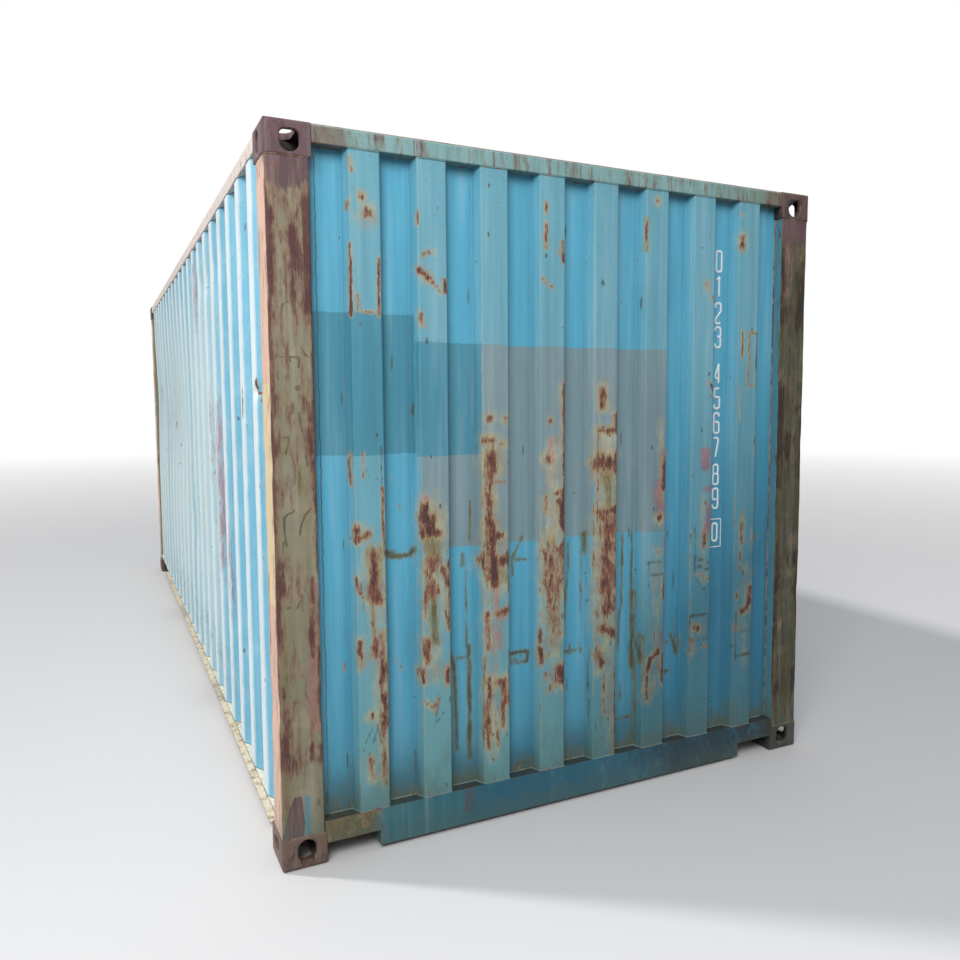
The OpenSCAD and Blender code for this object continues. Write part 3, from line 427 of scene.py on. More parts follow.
# Strokes of rust, stain and bared primer on the front wall, from its left edge to its right edge:
# half width, strength and the points that the stroke runs through, across and up, in millimetres
FRONT_RUST = [
    (5, 0.55, (-940, 1475), (-940, 1355)), (4, 0.50, (-897, 1475), (-897, 1390)), (5, 0.60, (-828, 1345), (-828, 1105)),
    (9, 0.65, (-925, 1205), (-925, 1165), (-885, 1185)), (16, 0.62, (-865, 1115), (-865, 940)),
    (12, 0.60, (-862, 1000), (-840, 935)), (6, 0.55, (-930, 1025), (-925, 980), (-895, 945)),
    (7, 0.50, (-870, 935), (-870, 815)), (10, 0.60, (-865, 790), (-865, 735)), (9, 0.50, (-920, 795), (-920, 705)),
    (10, 0.52, (-838, 815), (-836, 475)), (13, 0.65, (-838, 685), (-838, 635)), (12, 0.62, (-836, 585), (-834, 475)),
    (9, 0.60, (-880, 515)), (8, 0.50, (-840, 475), (-836, 250)), (9, 0.50, (-890, 350), (-880, 280)),
    (5, 0.55, (-930, 2200), (-930, 1960)), (5, 0.60, (-828, 2160), (-828, 1960)), (6, 0.50, (-905, 2030), (-905, 1975)),
    (9, 0.60, (-885, 2365)), (15, 0.55, (-868, 2310)), (6, 0.50, (-935, 2345), (-935, 2320)), (6, 0.45, (-880, 2260)),
    (6, 0.45, (-860, 2280)), (5, 0.50, (-905, 1975), (-850, 1970)), (6, 0.50, (-925, 2500), (-920, 2450)),
    (22, 0.75, (-655, 1230), (-648, 1185)), (12, 0.70, (-664, 1275), (-660, 1230)), (14, 0.70, (-668, 1172), (-618, 1168)),
    (24, 0.55, (-640, 1055), (-638, 955)), (9, 0.60, (-600, 1035), (-580, 975)), (6, 0.55, (-575, 1060), (-575, 800)),
    (7, 0.50, (-590, 960), (-585, 800)), (6, 0.60, (-668, 955), (-668, 855)), (13, 0.60, (-665, 765), (-660, 690)),
    (8, 0.60, (-685, 655), (-680, 610)), (10, 0.60, (-582, 640), (-582, 595)),
    (7, 0.50, (-675, 530), (-640, 500), (-625, 530), (-635, 490)), (8, 0.60, (-678, 2130), (-640, 2100)),
    (6, 0.50, (-640, 2100), (-590, 2050)), (7, 0.60, (-580, 2095), (-575, 2060)), (7, 0.50, (-660, 2180), (-655, 2195), (-620, 2195)),
    (7, 0.55, (-672, 1975), (-668, 1935)), (6, 0.50, (-655, 1925)), (5, 0.50, (-680, 2330), (-680, 2290)),
    (13, 0.65, (-415, 1508), (-390, 1508)), (9, 0.60, (-345, 1490)), (18, 0.70, (-395, 1455), (-390, 1390)),
    (13, 0.60, (-402, 1385), (-404, 1195)), (7, 0.45, (-390, 1345), (-340, 1345)), (17, 0.70, (-400, 1195), (-398, 1065)),
    (9, 0.55, (-370, 1135), (-345, 1140)), (24, 0.58, (-425, 1045), (-330, 1040)), (20, 0.70, (-384, 1020), (-382, 955)),
    (6, 0.50, (-320, 965), (-322, 920)), (9, 0.50, (-405, 885)), (11, 0.60, (-378, 830), (-338, 838)),
    (10, 0.52, (-412, 835), (-412, 700)), (6, 0.50, (-425, 665), (-425, 610)), (12, 0.62, (-410, 570), (-405, 510)),
    (12, 0.62, (-375, 560), (-345, 555), (-338, 480)), (10, 0.55, (-412, 500), (-412, 300)), (9, 0.50, (-350, 480), (-350, 380)),
    (7, 0.50, (-380, 440), (-372, 300)), (10, 0.60, (-400, 1590)), (9, 0.55, (-330, 1590)),
    (10, 0.60, (-68, 1720), (-66, 1600)), (8, 0.60, (-66, 1600), (-66, 1205)), (12, 0.65, (-145, 1430)),
    (9, 0.60, (-110, 1290), (-80, 1300), (-75, 1270), (-100, 1260)), (15, 0.68, (-80, 1245), (-76, 1165)),
    (9, 0.50, (-155, 1275), (-155, 1225)), (26, 0.55, (-140, 1080), (-130, 900)), (18, 0.50, (-85, 1080), (-90, 930)),
    (34, 0.42, (-120, 900), (-120, 720)), (7, 0.55, (-178, 745), (-178, 695)), (8, 0.60, (-178, 665), (-178, 605)),
    (14, 0.68, (-90, 575), (-88, 520)), (9, 0.50, (-150, 630)), (7, 0.50, (-160, 560), (-130, 500), (-150, 480)),
    (8, 0.50, (-135, 1580)), (8, 0.50, (-110, 1500)), (7, 0.60, (-155, 2415), (-155, 2385)), (7, 0.60, (-155, 2340), (-155, 2250)),
    (6, 0.55, (-80, 2280), (-75, 2200)), (7, 0.50, (-170, 2130), (-130, 2100)), (6, 0.50, (-100, 2240), (-70, 2200)),
    (12, 0.65, (110, 1700), (110, 1640)), (10, 0.60, (180, 1600), (180, 1550)), (10, 0.60, (95, 1535), (190, 1535)),
    (26, 0.66, (100, 1405), (185, 1400)), (5, 0.50, (88, 1530), (88, 1160)), (5, 0.50, (190, 1360), (190, 1290)),
    (13, 0.62, (95, 1200), (110, 1170)), (14, 0.62, (130, 1200), (190, 1210)), (40, 0.52, (140, 1140), (140, 800)),
    (16, 0.60, (120, 960), (125, 870)), (14, 0.60, (165, 790)), (16, 0.65, (118, 715), (165, 680)),
    (14, 0.65, (98, 605), (110, 560)), (5, 0.50, (84, 790), (84, 580)), (8, 0.50, (180, 500), (182, 200)),
    (10, 0.55, (185, 230), (185, 150)), (7, 0.48, (120, 520), (125, 350)),
    (9, 0.62, (425, 1425), (422, 1285)), (10, 0.70, (400, 1158)), (7, 0.50, (438, 1195), (438, 1105)), (8, 0.50, (400, 1010)),
    (9, 0.45, (428, 905), (428, 815)), (10, 0.60, (345, 490), (365, 545), (400, 575), (425, 560), (432, 475)),
    (9, 0.55, (345, 480), (345, 370)), (10, 0.60, (430, 540), (430, 440)), (8, 0.50, (370, 2485), (370, 2475)),
    (5, 0.50, (325, 2400), (318, 2340), (325, 2280)),
    (7, 0.50, (600, 895), (680, 865)), (11, 0.60, (605, 655), (625, 645)), (8, 0.45, (590, 600), (590, 540)),
    (7, 0.50, (650, 560), (672, 562)), (8, 0.50, (640, 2160), (640, 2140)), (6, 0.50, (672, 2100), (685, 2080)),
    (6, 0.50, (650, 1735), (675, 1725), (685, 1680)), (10, 0.55, (648, 1070), (648, 1030)),
    (9, 0.65, (835, 2370), (835, 2330)), (7, 0.50, (830, 2470)), (7, 0.50, (845, 1960), (845, 1850)),
    (5, 0.50, (882, 1958), (882, 1722), (928, 1722), (928, 1958), (882, 1958)), (4, 0.50, (835, 1720), (835, 1560)),
    (6, 0.50, (860, 1155), (865, 1120)), (8, 0.50, (860, 1115), (860, 1015)), (6, 0.50, (853, 975), (853, 885)),
    (6, 0.50, (930, 1485), (930, 1425)), (6, 0.50, (935, 1360)), (10, 0.68, (915, 800), (915, 740), (895, 703), (870, 697)),
    (7, 0.55, (842, 780), (842, 755)), (8, 0.50, (840, 635), (850, 615)),
    (15, 0.62, (950, 1028), (968, 1022)), (12, 0.60, (952, 868), (968, 862)), (8, 0.60, (695, 895)), (7, 0.50, (775, 813)),
    (7, 0.50, (730, 700)), (8, 0.60, (475, 1427)), (8, 0.55, (490, 1163)), (8, 0.55, (470, 1815)), (7, 0.50, (735, 1620)),
    (8, 0.60, (-750, 1270)), (7, 0.50, (-783, 1378)), (6, 0.50, (-975, 1285)), (6, 0.50, (-982, 898)),
    (6, 0.50, (-775, 700), (-750, 655)), (6, 0.50, (-970, 705), (-970, 675)),
]
FRONT_STAIN = [
    (30, 0.55, (-860, 1110), (-860, 945)), (12, 0.45, (-870, 935), (-868, 815)),
    (11, 0.85, (-815, 1115), (-800, 1095), (-760, 1086), (-715, 1086), (-703, 1105)),
    (28, 0.60, (-640, 1150), (-635, 1060)), (20, 0.70, (-640, 935), (-632, 765)), (12, 0.60, (-500, 1070), (-495, 1030)),
    (8, 0.45, (-465, 1275), (-468, 1105)), (7, 0.55, (-485, 995), (-485, 705)), (10, 0.65, (-560, 690), (-537, 640), (-530, 300)),
    (11, 0.75, (-473, 705), (-475, 260)), (7, 0.50, (-525, 668), (-480, 665)), (20, 0.50, (-345, 1045), (-345, 970)),
    (8, 0.60, (-240, 1120), (-285, 1030), (-280, 970)), (9, 0.60, (-300, 1040), (-215, 1025)),
    (9, 0.75, (-305, 650), (-212, 650), (-215, 610), (-300, 615), (-305, 650)), (36, 0.40, (-120, 1000), (-120, 720)),
    (13, 0.70, (45, 1115), (45, 1035)), (6, 0.50, (35, 1095), (35, 785)),
    (9, 0.60, (-25, 1080), (-30, 930), (-45, 800), (-60, 680)), (8, 0.60, (-60, 625), (35, 625)), (7, 0.60, (-17, 650), (-17, 605)),
    (7, 0.60, (30, 650), (30, 605)), (40, 0.50, (140, 1360), (140, 1250)), (25, 0.50, (160, 1160), (160, 1120)),
    (8, 0.60, (240, 1095), (240, 800), (225, 720), (225, 590)), (8, 0.62, (290, 1095), (290, 830)),
    (14, 0.75, (292, 835), (295, 515)), (20, 0.50, (315, 650), (310, 540)), (9, 0.50, (300, 515), (300, 150)),
    (9, 0.50, (200, 290), (290, 290)), (10, 0.50, (235, 450), (235, 370)), (10, 0.65, (505, 620), (530, 560), (530, 535)),
    (6, 0.40, (440, 598), (505, 595)), (6, 0.40, (520, 695), (520, 640)), (8, 0.50, (440, 455), (510, 455)),
    (9, 0.50, (545, 620), (545, 540)), (10, 0.45, (325, 2400), (320, 2280)), (10, 0.40, (250, 1370)),
]
# Dark contour lines of scraped paint
FRONT_LINES = [
    (10, 0.80, (345, 968), (442, 962)), (10, 0.80, (345, 918), (440, 912)), (5, 0.80, (348, 965), (348, 860)),
    (5, 0.80, (595, 1105), (595, 900)), (11, 0.75, (600, 965), (690, 940)), (11, 0.80, (605, 930), (690, 905)),
    (7, 0.65, (610, 870), (630, 830), (660, 820)), (10, 0.85, (575, 708), (675, 705)), (5, 0.90, (677, 705), (677, 545)),
    (10, 0.85, (582, 600), (672, 598)), (5, 0.85, (572, 705), (572, 545)), (10, 0.80, (840, 600), (930, 600)),
    (5, 0.90, (930, 640), (930, 455)), (10, 0.80, (845, 490), (928, 490)), (5, 0.80, (838, 700), (838, 470)),
    (5, 0.75, (-830, 1500), (-830, 1240)), (5, 0.70, (-578, 1100), (-578, 820)), (5, 0.70, (-324, 1080), (-324, 960)),
    (5, 0.75, (-322, 690), (-322, 420)), (5, 0.70, (-915, 1000), (-905, 905)), (5, 0.70, (-885, 1420), (-878, 1385)),
    (5, 0.65, (-668, 520), (-610, 560), (-640, 430), (-600, 480)), (5, 0.70, (-430, 640), (-430, 300)),
    (8, 0.70, (-905, 420), (-880, 470)), (8, 0.70, (-875, 420), (-860, 480), (-845, 400)), (6, 0.60, (-395, 540), (-350, 380)),
    (5, 0.60, (-375, 520), (-350, 420)), (8, 0.75, (-300, 180), (-215, 190)), (8, 0.70, (200, 290), (290, 292)),
    (8, 0.70, (445, 455), (505, 462)), (5, 0.65, (-700, 330), (-700, 190)), (5, 0.60, (-800, 660), (-775, 610)),
    (5, 0.60, (60, 620), (60, 300)), (5, 0.65, (70, 1250), (70, 1010)), (5, 0.60, (530, 740), (530, 600)),
]
FRONT_PRIMER = [
    (16, 0.55, (-662, 1300), (-655, 1270)), (20, 0.45, (-845, 1000), (-840, 935)), (12, 0.45, (-845, 815), (-840, 640)),
    (12, 0.50, (-418, 835), (-418, 700)), (24, 0.42, (-375, 940), (-370, 700)), (14, 0.50, (-390, 1345), (-340, 1345)),
    (20, 0.42, (-130, 1500), (-140, 1420)), (30, 0.40, (-120, 1060), (-120, 900)), (40, 0.45, (140, 1140), (140, 800)),
    (24, 0.66, (430, 1425), (420, 1285)), (34, 0.55, (400, 1300), (400, 1200)), (14, 0.50, (430, 1075), (430, 1015)),
    (26, 0.45, (420, 640), (420, 600)), (26, 0.85, (648, 1425), (648, 1380)), (14, 0.70, (640, 1270), (690, 1270)),
    (15, 0.80, (672, 1205), (668, 1100)), (16, 0.60, (648, 1080), (645, 1015)), (14, 0.60, (912, 800), (905, 700)),
    (16, 0.42, (390, 570), (420, 480)), (10, 0.50, (-138, 560), (-100, 500)),
]
# Broad brown haze round the heaviest rust, and creamy worn paint
FRONT_HAZE = [
    (34, 0.55, (-868, 1120), (-860, 900)), (28, 0.45, (-860, 900), (-850, 560)), (36, 0.62, (-645, 1180), (-640, 900)),
    (34, 0.50, (-635, 900), (-640, 620)), (26, 0.55, (-395, 1480), (-395, 1080)), (44, 0.66, (-385, 1070), (-380, 940)),
    (30, 0.42, (-375, 940), (-385, 560)), (26, 0.50, (-400, 560), (-395, 260)), (40, 0.62, (-120, 1110), (-118, 900)),
    (44, 0.50, (-118, 900), (-115, 640)), (46, 0.72, (137, 1180), (140, 800)), (44, 0.52, (138, 800), (136, 560)),
    (30, 0.45, (150, 560), (160, 240)), (40, 0.50, (137, 1420), (137, 1380)), (26, 0.45, (418, 1440), (410, 1150)),
    (30, 0.40, (390, 1020), (385, 400)), (22, 0.40, (640, 1240), (645, 860)), (24, 0.40, (885, 900), (890, 450)),
]
FRONT_CREAM = [
    (34, 0.70, (-125, 1480), (-125, 1330)), (30, 0.60, (-135, 1240), (-135, 1130)), (44, 0.70, (137, 1510), (137, 1450)),
    (44, 0.80, (137, 1340), (137, 1225)), (24, 0.45, (-655, 1090), (-650, 1030)), (26, 0.40, (405, 1560), (405, 1460)),
]
# Hollows: place across, height, half sizes and depth
FRONT_DENTS = [
    (-640, 1095, 420, 45, 2.2), (-120, 625, 500, 40, 2.0), (640, 630, 260, 60, 2.4), (-866, 960, 60, 120, 3.0),
    (-372, 1040, 60, 90, 2.8), (137, 1190, 70, 60, 3.0), (380, 500, 60, 90, 2.5), (-870, 2030, 80, 90, 2.0),
]


def front_line(sizes, step=0.0072):
    """The front wall's plan: trapezoid waves of the named faces, slopes and depth, centred across the wall."""
    low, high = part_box("front_wall")
    y_out, y_in = low[1], low[1] + sizes.front_depth
    pitch = sizes.front_outer + sizes.front_inner + 2 * sizes.front_slope
    ribs = int((high[0] - low[0] + sizes.front_inner) / pitch + 1e-6)
    start = -(ribs * pitch - sizes.front_inner) / 2
    corners = [(low[0], y_in)]
    for i in range(ribs):
        x = start + i * pitch
        corners += [(x, y_in), (x + sizes.front_slope, y_out), (x + sizes.front_slope + sizes.front_outer, y_out),
                    (x + 2 * sizes.front_slope + sizes.front_outer, y_in)]
    corners.append((high[0], y_in))
    return fold_line(corners, sizes.front_bend, step)


def side_line(sizes, sign, step=0.017):
    """A side wall's plan, running so that its outside is on the right of travel."""
    low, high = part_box("left_wall" if sign < 0 else "right_wall")
    x_out = sign * max(abs(low[0]), abs(high[0]))
    x_in = x_out - sign * sizes.side_depth
    pitch = sizes.side_outer + sizes.side_inner + 2 * sizes.side_slope
    ribs = int((high[1] - low[1] - 2 * sizes.side_first + sizes.side_inner) / pitch)
    corners = [(x_in, low[1])]
    for i in range(ribs):
        y = low[1] + sizes.side_first + i * pitch
        corners += [(x_in, y), (x_out, y + sizes.side_slope), (x_out, y + sizes.side_slope + sizes.side_outer),
                    (x_in, y + 2 * sizes.side_slope + sizes.side_outer)]
    corners.append((x_in, high[1]))
    return fold_line(corners if sign > 0 else corners[::-1], sizes.side_bend, step, 3)


class CONTAINER_OT_front_wall(bpy.types.Operator):
    """Fold the front wall's sheet, dent it and mark its rust"""

    bl_idname = "container.front_wall"
    bl_label = "Front Wall"

    def execute(self, context):
        sizes = context.scene.container_sheets
        low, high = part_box("front_wall")
        line = front_line(sizes)

        def push(travel, x, y, z):
            fade = np.clip(np.minimum(z - low[2], high[2] - z) / 0.08, 0, 1)
            return dented(x, z, FRONT_DENTS) * fade * np.clip((1.063 - np.abs(x)) / 0.04, 0, 1)

        def looks(travel, x, y, z, knees):
            out = np.clip((low[1] + sizes.front_depth - y) / sizes.front_depth, 0, 1)
            broken = 0.5 + 0.5 * np.sin(9 * z + 31 * x) * np.sin(3.7 * z + 17 * x)
            scuff = near_knees(travel, knees, 1, 0.006) * broken * np.clip(1.3 - np.abs(z - 0.75) / 0.8, 0, 1)
            # foot and brow mark the bottom and the top of the recesses. Both darken the gap value: painted shade under
            # the top rail and at the foot, where foot also brings rust and stain.
            foot = np.exp(-(((z - low[2]) / 0.060) ** 2)) * (1 - 0.6 * out)
            brow = np.exp(-(((high[2] - z) / 0.045) ** 2)) * (1 - 0.7 * out)
            # right, shaded and lower make the wall darker towards its lower right and towards the bottom: painted
            # shade. grime is real dirt along the foot of the recesses. All four go into one darkening value.
            lower = np.clip((1.15 - z) / 0.9, 0, 1)
            corner = np.clip((0.62 - z) / 0.5, 0, 1) * 0.5
            right = np.clip((x - 0.1) / 0.9, 0, 1) * np.clip((1.9 - z) / 1.2, 0, 1)
            grime = np.exp(-(((z - low[2]) / 0.13) ** 2)) * (1 - out)
            shaded = 0.65 * out * np.clip((x + 0.3) / 0.5, 0, 1) * np.clip((1.0 - z) / 0.5, 0, 1)
            near = stroked(x, z, FRONT_RUST, 1.5)
            around = np.maximum(stroked(x, z, FRONT_RUST, 3.6), stroked(x, z, FRONT_HAZE, 1.2)) * (0.35 + 0.65 * out)
            return {
                "rust": np.maximum(0.64 * near + 0.36 * around, np.maximum(0.34 * scuff, 0.30 * foot)),
                "haze": np.minimum(1.15 * around, 1.0),
                "line": 0.84 * stroked(x, z, FRONT_LINES),
                "stain": np.maximum(stroked(x, z, FRONT_STAIN, 1.1), 0.35 * foot),
                # Painted shade towards the lower right and the bottom, with grime at the foot of the recesses
                "film": np.clip(1.25 * right + 0.30 * lower * (1 - out) + shaded + 0.85 * grime, 0, 1),
                "primer": stroked(x, z, FRONT_PRIMER, 1.2),
                "cream": stroked(x, z, FRONT_CREAM),
                "dust": np.clip(out * lower * np.where(x < 0.25, 0.9, 0.6) + corner, 0, 1) * (1 - 0.65 * right),
                "out": out + 0 * z,
                "edge": near_knees(travel, knees, 1, 0.006) + 0 * z,
                # Painted shade in the concave bends, under the top rail and along the foot of the recesses
                "gap": np.maximum(near_knees(travel, knees, -1, 0.012), np.maximum(0.9 * brow, 0.9 * foot)),
            }

        rows = heights_between(low[2], high[2], 0.0146)
        piece = folded_plate("front_wall_sheet", line, rows, sizes.front_sheet, push, looks, 6)
        placed(piece, "front_panel", "front_wall")
        return {"FINISHED"}


# ---------------------------------------------------------------- side walls

# Hollows in the left wall: place along, height, half sizes and depth
LEFT_DENTS = [
    (-2740, 1696, 46, 20, 10.0), (-1100, 2285, 90, 60, 8.0), (-1370, 2270, 80, 60, 9.0), (-1690, 2290, 90, 60, 8.0),
    (800, 1600, 1100, 520, 24.0), (2350, 1700, 380, 430, 20.0), (-2590, 1100, 50, 90, 5.0), (-400, 900, 300, 200, 10.0),
]
RIGHT_DENTS = [
    (-1500, 1400, 500, 300, 12.0), (1200, 900, 600, 260, 14.0), (300, 2250, 90, 60, 8.0), (2000, 1900, 120, 90, 9.0),
]
LEFT_RUST = [
    (-2740, 1716, 12, 30, 0.85), (-2762, 1690, 22, 8, 0.70), (-2775, 1672, 8, 18, 0.60), (-2550, 1050, 9, 92, 0.95),
    (-2440, 1640, 12, 90, 0.70), (-2330, 900, 12, 200, 0.45), (-2050, 1500, 14, 300, 0.42), (-1200, 700, 16, 300, 0.45),
    (-300, 1300, 20, 500, 0.45), (500, 1000, 24, 600, 0.42), (1500, 1200, 24, 500, 0.45), (2400, 900, 24, 500, 0.45),
]
RIGHT_RUST = [
    (-2200, 900, 30, 300, 0.50), (-1500, 1400, 240, 14, 0.55), (-700, 600, 24, 260, 0.50), (400, 1500, 20, 400, 0.45),
    (1200, 900, 300, 14, 0.60), (1900, 700, 30, 300, 0.50), (2500, 1300, 24, 500, 0.45),
]
LEFT_PRIMER = [(-1633, 1230, 60, 460, 0.50), (-1911, 900, 44, 260, 0.34), (-1355, 1500, 44, 300, 0.32), (-799, 2250, 50, 230, 0.40)]
RIGHT_PRIMER = [(-900, 1200, 36, 300, 0.50), (1500, 1500, 36, 260, 0.50)]


class CONTAINER_OT_side_walls(bpy.types.Operator):
    """Fold both side walls' sheets, push them in and mark their rust"""

    bl_idname = "container.side_walls"
    bl_label = "Side Walls"

    def execute(self, context):
        sizes = context.scene.container_sheets
        for name, sign, dents, rust, primer in (
            ("left_wall", -1, LEFT_DENTS, LEFT_RUST, LEFT_PRIMER),
            ("right_wall", 1, RIGHT_DENTS, RIGHT_RUST, RIGHT_PRIMER),
        ):
            low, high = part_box(name)
            face = max(abs(low[0]), abs(high[0]))

            def push(travel, x, y, z):
                fade = np.clip(np.minimum(z - low[2], high[2] - z) / 0.12, 0, 1)
                return dented(y, z, dents) * fade * np.clip(np.minimum(y - low[1], high[1] - y) / 0.10, 0, 1)

            def looks(travel, x, y, z, knees):
                marks = marked(y, z, rust)
                # The outer faces take the near-white chalk: painted sunlight over bleached paint.
                out = np.clip(1 - 10 * (face - np.abs(x)) / sizes.side_depth, 0, 1)
                dust = marked(y, z, [(700, 1250, 1100, 1100, 0.95), (2400, 1250, 900, 1300, 0.95), (-900, 1250, 700, 1100, 0.80)])
                return {
                    "rust": marks,
                    "stain": 0.15 * marked(y, z, [(0, 350, 2900, 140, 1.0)]),
                    "primer": marked(y, z, primer),
                    "dust": dust,
                    "out": np.broadcast_to(out, marks.shape),
                    "edge": np.broadcast_to(near_knees(travel, knees, 1, 0.010), marks.shape),
                    # Concave bends: painted shade
                    "gap": np.broadcast_to(near_knees(travel, knees, -1, 0.018), marks.shape),
                }

            rows = np.unique(np.append(heights_between(low[2], high[2], 0.040), heights_between(1.62, 1.78, 0.010)))
            piece = folded_plate(name + "_sheet", side_line(sizes, sign), rows, sizes.side_sheet, push, looks)
            placed(piece, "side_panel", name)
        return {"FINISHED"}


# ---------------------------------------------------------------- posts and welds


def post_corners(posts, sheets, end, side):
    """Plan of a post's outer surface: returns to both walls round the outer corner, and at the door end the stop."""
    x0, y0 = side * CAD_BOUNDS[1][0], CAD_BOUNDS[0 if end < 0 else 1][1]
    side_return = posts.inset + 0.001 + sheets.side_depth + sheets.side_sheet + posts.plate
    if end < 0:
        end_return = 0.008 + sheets.front_depth + sheets.front_sheet + posts.plate
        plan = [(side_return, posts.front_length), (posts.inset, posts.front_length), (posts.inset, posts.inset),
                (posts.front_width, posts.inset), (posts.front_width, end_return)]
    else:
        plan = [(side_return, posts.rear_length), (posts.inset, posts.rear_length), (posts.inset, posts.inset),
                (posts.rear_width, posts.inset), (posts.rear_width, posts.stop_depth),
                (posts.rear_width + posts.stop_width, posts.stop_depth)]
    corners = [(x0 - side * a, y0 - end * b) for a, b in plan]
    return corners if side * end > 0 else corners[::-1]


# Strokes on the front left post's end face: half width, strength and points, inwards from its outer corner
# and up, in millimetres; the other posts carry them at other heights
POST_RUST = [
    (13, 0.62, (15, 2280), (18, 2160), (16, 2030)), (17, 0.74, (142, 2430), (141, 2200), (146, 1990)),
    (12, 0.68, (90, 2224), (92, 2110)), (8, 0.50, (90, 2110), (86, 2010)), (4, 0.65, (52, 2224), (53, 2186)),
    (18, 0.52, (36, 2350), (56, 2330)), (6, 0.55, (119, 2186), (120, 2153)), (17, 0.60, (26, 1665), (32, 1615)),
    (14, 0.60, (146, 1725), (144, 1600)), (6, 0.55, (119, 1668), (119, 1624)), (5, 0.55, (78, 1660), (76, 1620)),
    (9, 0.58, (4, 2473), (4, 380)), (7, 0.52, (155, 2473), (154, 480)), (14, 0.60, (14, 1565), (17, 1485)),
    (12, 0.60, (12, 1385), (13, 1312)), (18, 0.64, (22, 1110), (30, 1005)), (14, 0.62, (140, 1562), (142, 1490)),
    (11, 0.66, (150, 1447), (150, 1363)), (10, 0.64, (152, 1322), (153, 1280)), (8, 0.72, (129, 1042), (130, 962)),
    (8, 0.74, (129, 932), (128, 796)), (5, 0.62, (94, 987), (95, 934)), (8, 0.68, (123, 860), (122, 768)),
    (7, 0.62, (86, 752), (87, 698)), (7, 0.60, (152, 764), (152, 702)), (8, 0.62, (26, 666), (26, 636)),
    (8, 0.62, (60, 607), (52, 550)), (18, 0.70, (22, 574), (25, 440)), (26, 0.68, (32, 432), (38, 385)),
    (10, 0.62, (148, 648), (148, 532)), (9, 0.56, (118, 442), (150, 432), (150, 385), (120, 400), (118, 442)),
    (5, 0.50, (30, 900), (30, 640)),
]
# Thin cracks in the post's paint
POST_LINES = [
    (4, 0.90, (73, 1993), (54, 1985), (48, 1954), (47, 1888), (51, 1861), (62, 1822), (75, 1795)),
    (4, 0.85, (102, 1998), (113, 1976), (118, 1998), (126, 2004)), (4, 0.85, (113, 1844), (124, 1817), (137, 1811)),
    (4, 0.80, (38, 1808), (75, 1808), (105, 1806), (102, 1773)), (4, 0.85, (31, 1537), (62, 1540), (60, 1510), (51, 1482)),
    (5, 0.85, (99, 1620), (105, 1565), (122, 1521), (119, 1466), (125, 1438)), (4, 0.80, (73, 1466), (82, 1438), (79, 1378)),
    (4, 0.85, (74, 1284), (51, 1273), (40, 1262), (40, 1213), (46, 1163)), (4, 0.85, (133, 1290), (111, 1268), (97, 1235), (92, 1202)),
    (4, 0.75, (40, 950), (75, 945), (92, 975)), (4, 0.80, (60, 2150), (66, 2090), (60, 2050)), (4, 0.70, (20, 2140), (30, 2090)),
    (4, 0.75, (36, 1180), (30, 1120), (44, 1080)), (4, 0.70, (110, 1060), (104, 1000)), (4, 0.75, (60, 840), (66, 780), (58, 740)),
    (4, 0.70, (100, 690), (96, 640), (112, 600)), (4, 0.70, (70, 500), (66, 440)),
]
POST_STAIN = [
    (12, 0.50, (28, 1000), (30, 640)), (16, 0.55, (20, 380), (22, 130)), (10, 0.45, (95, 1440), (96, 1340)),
    (12, 0.45, (40, 1540), (36, 1440)), (9, 0.45, (14, 1300), (14, 1130)),
]
POST_PRIMER = [(16, 0.62, (134, 1015), (134, 770)), (22, 0.55, (124, 755), (122, 510)), (14, 0.50, (24, 2330), (40, 2300))]


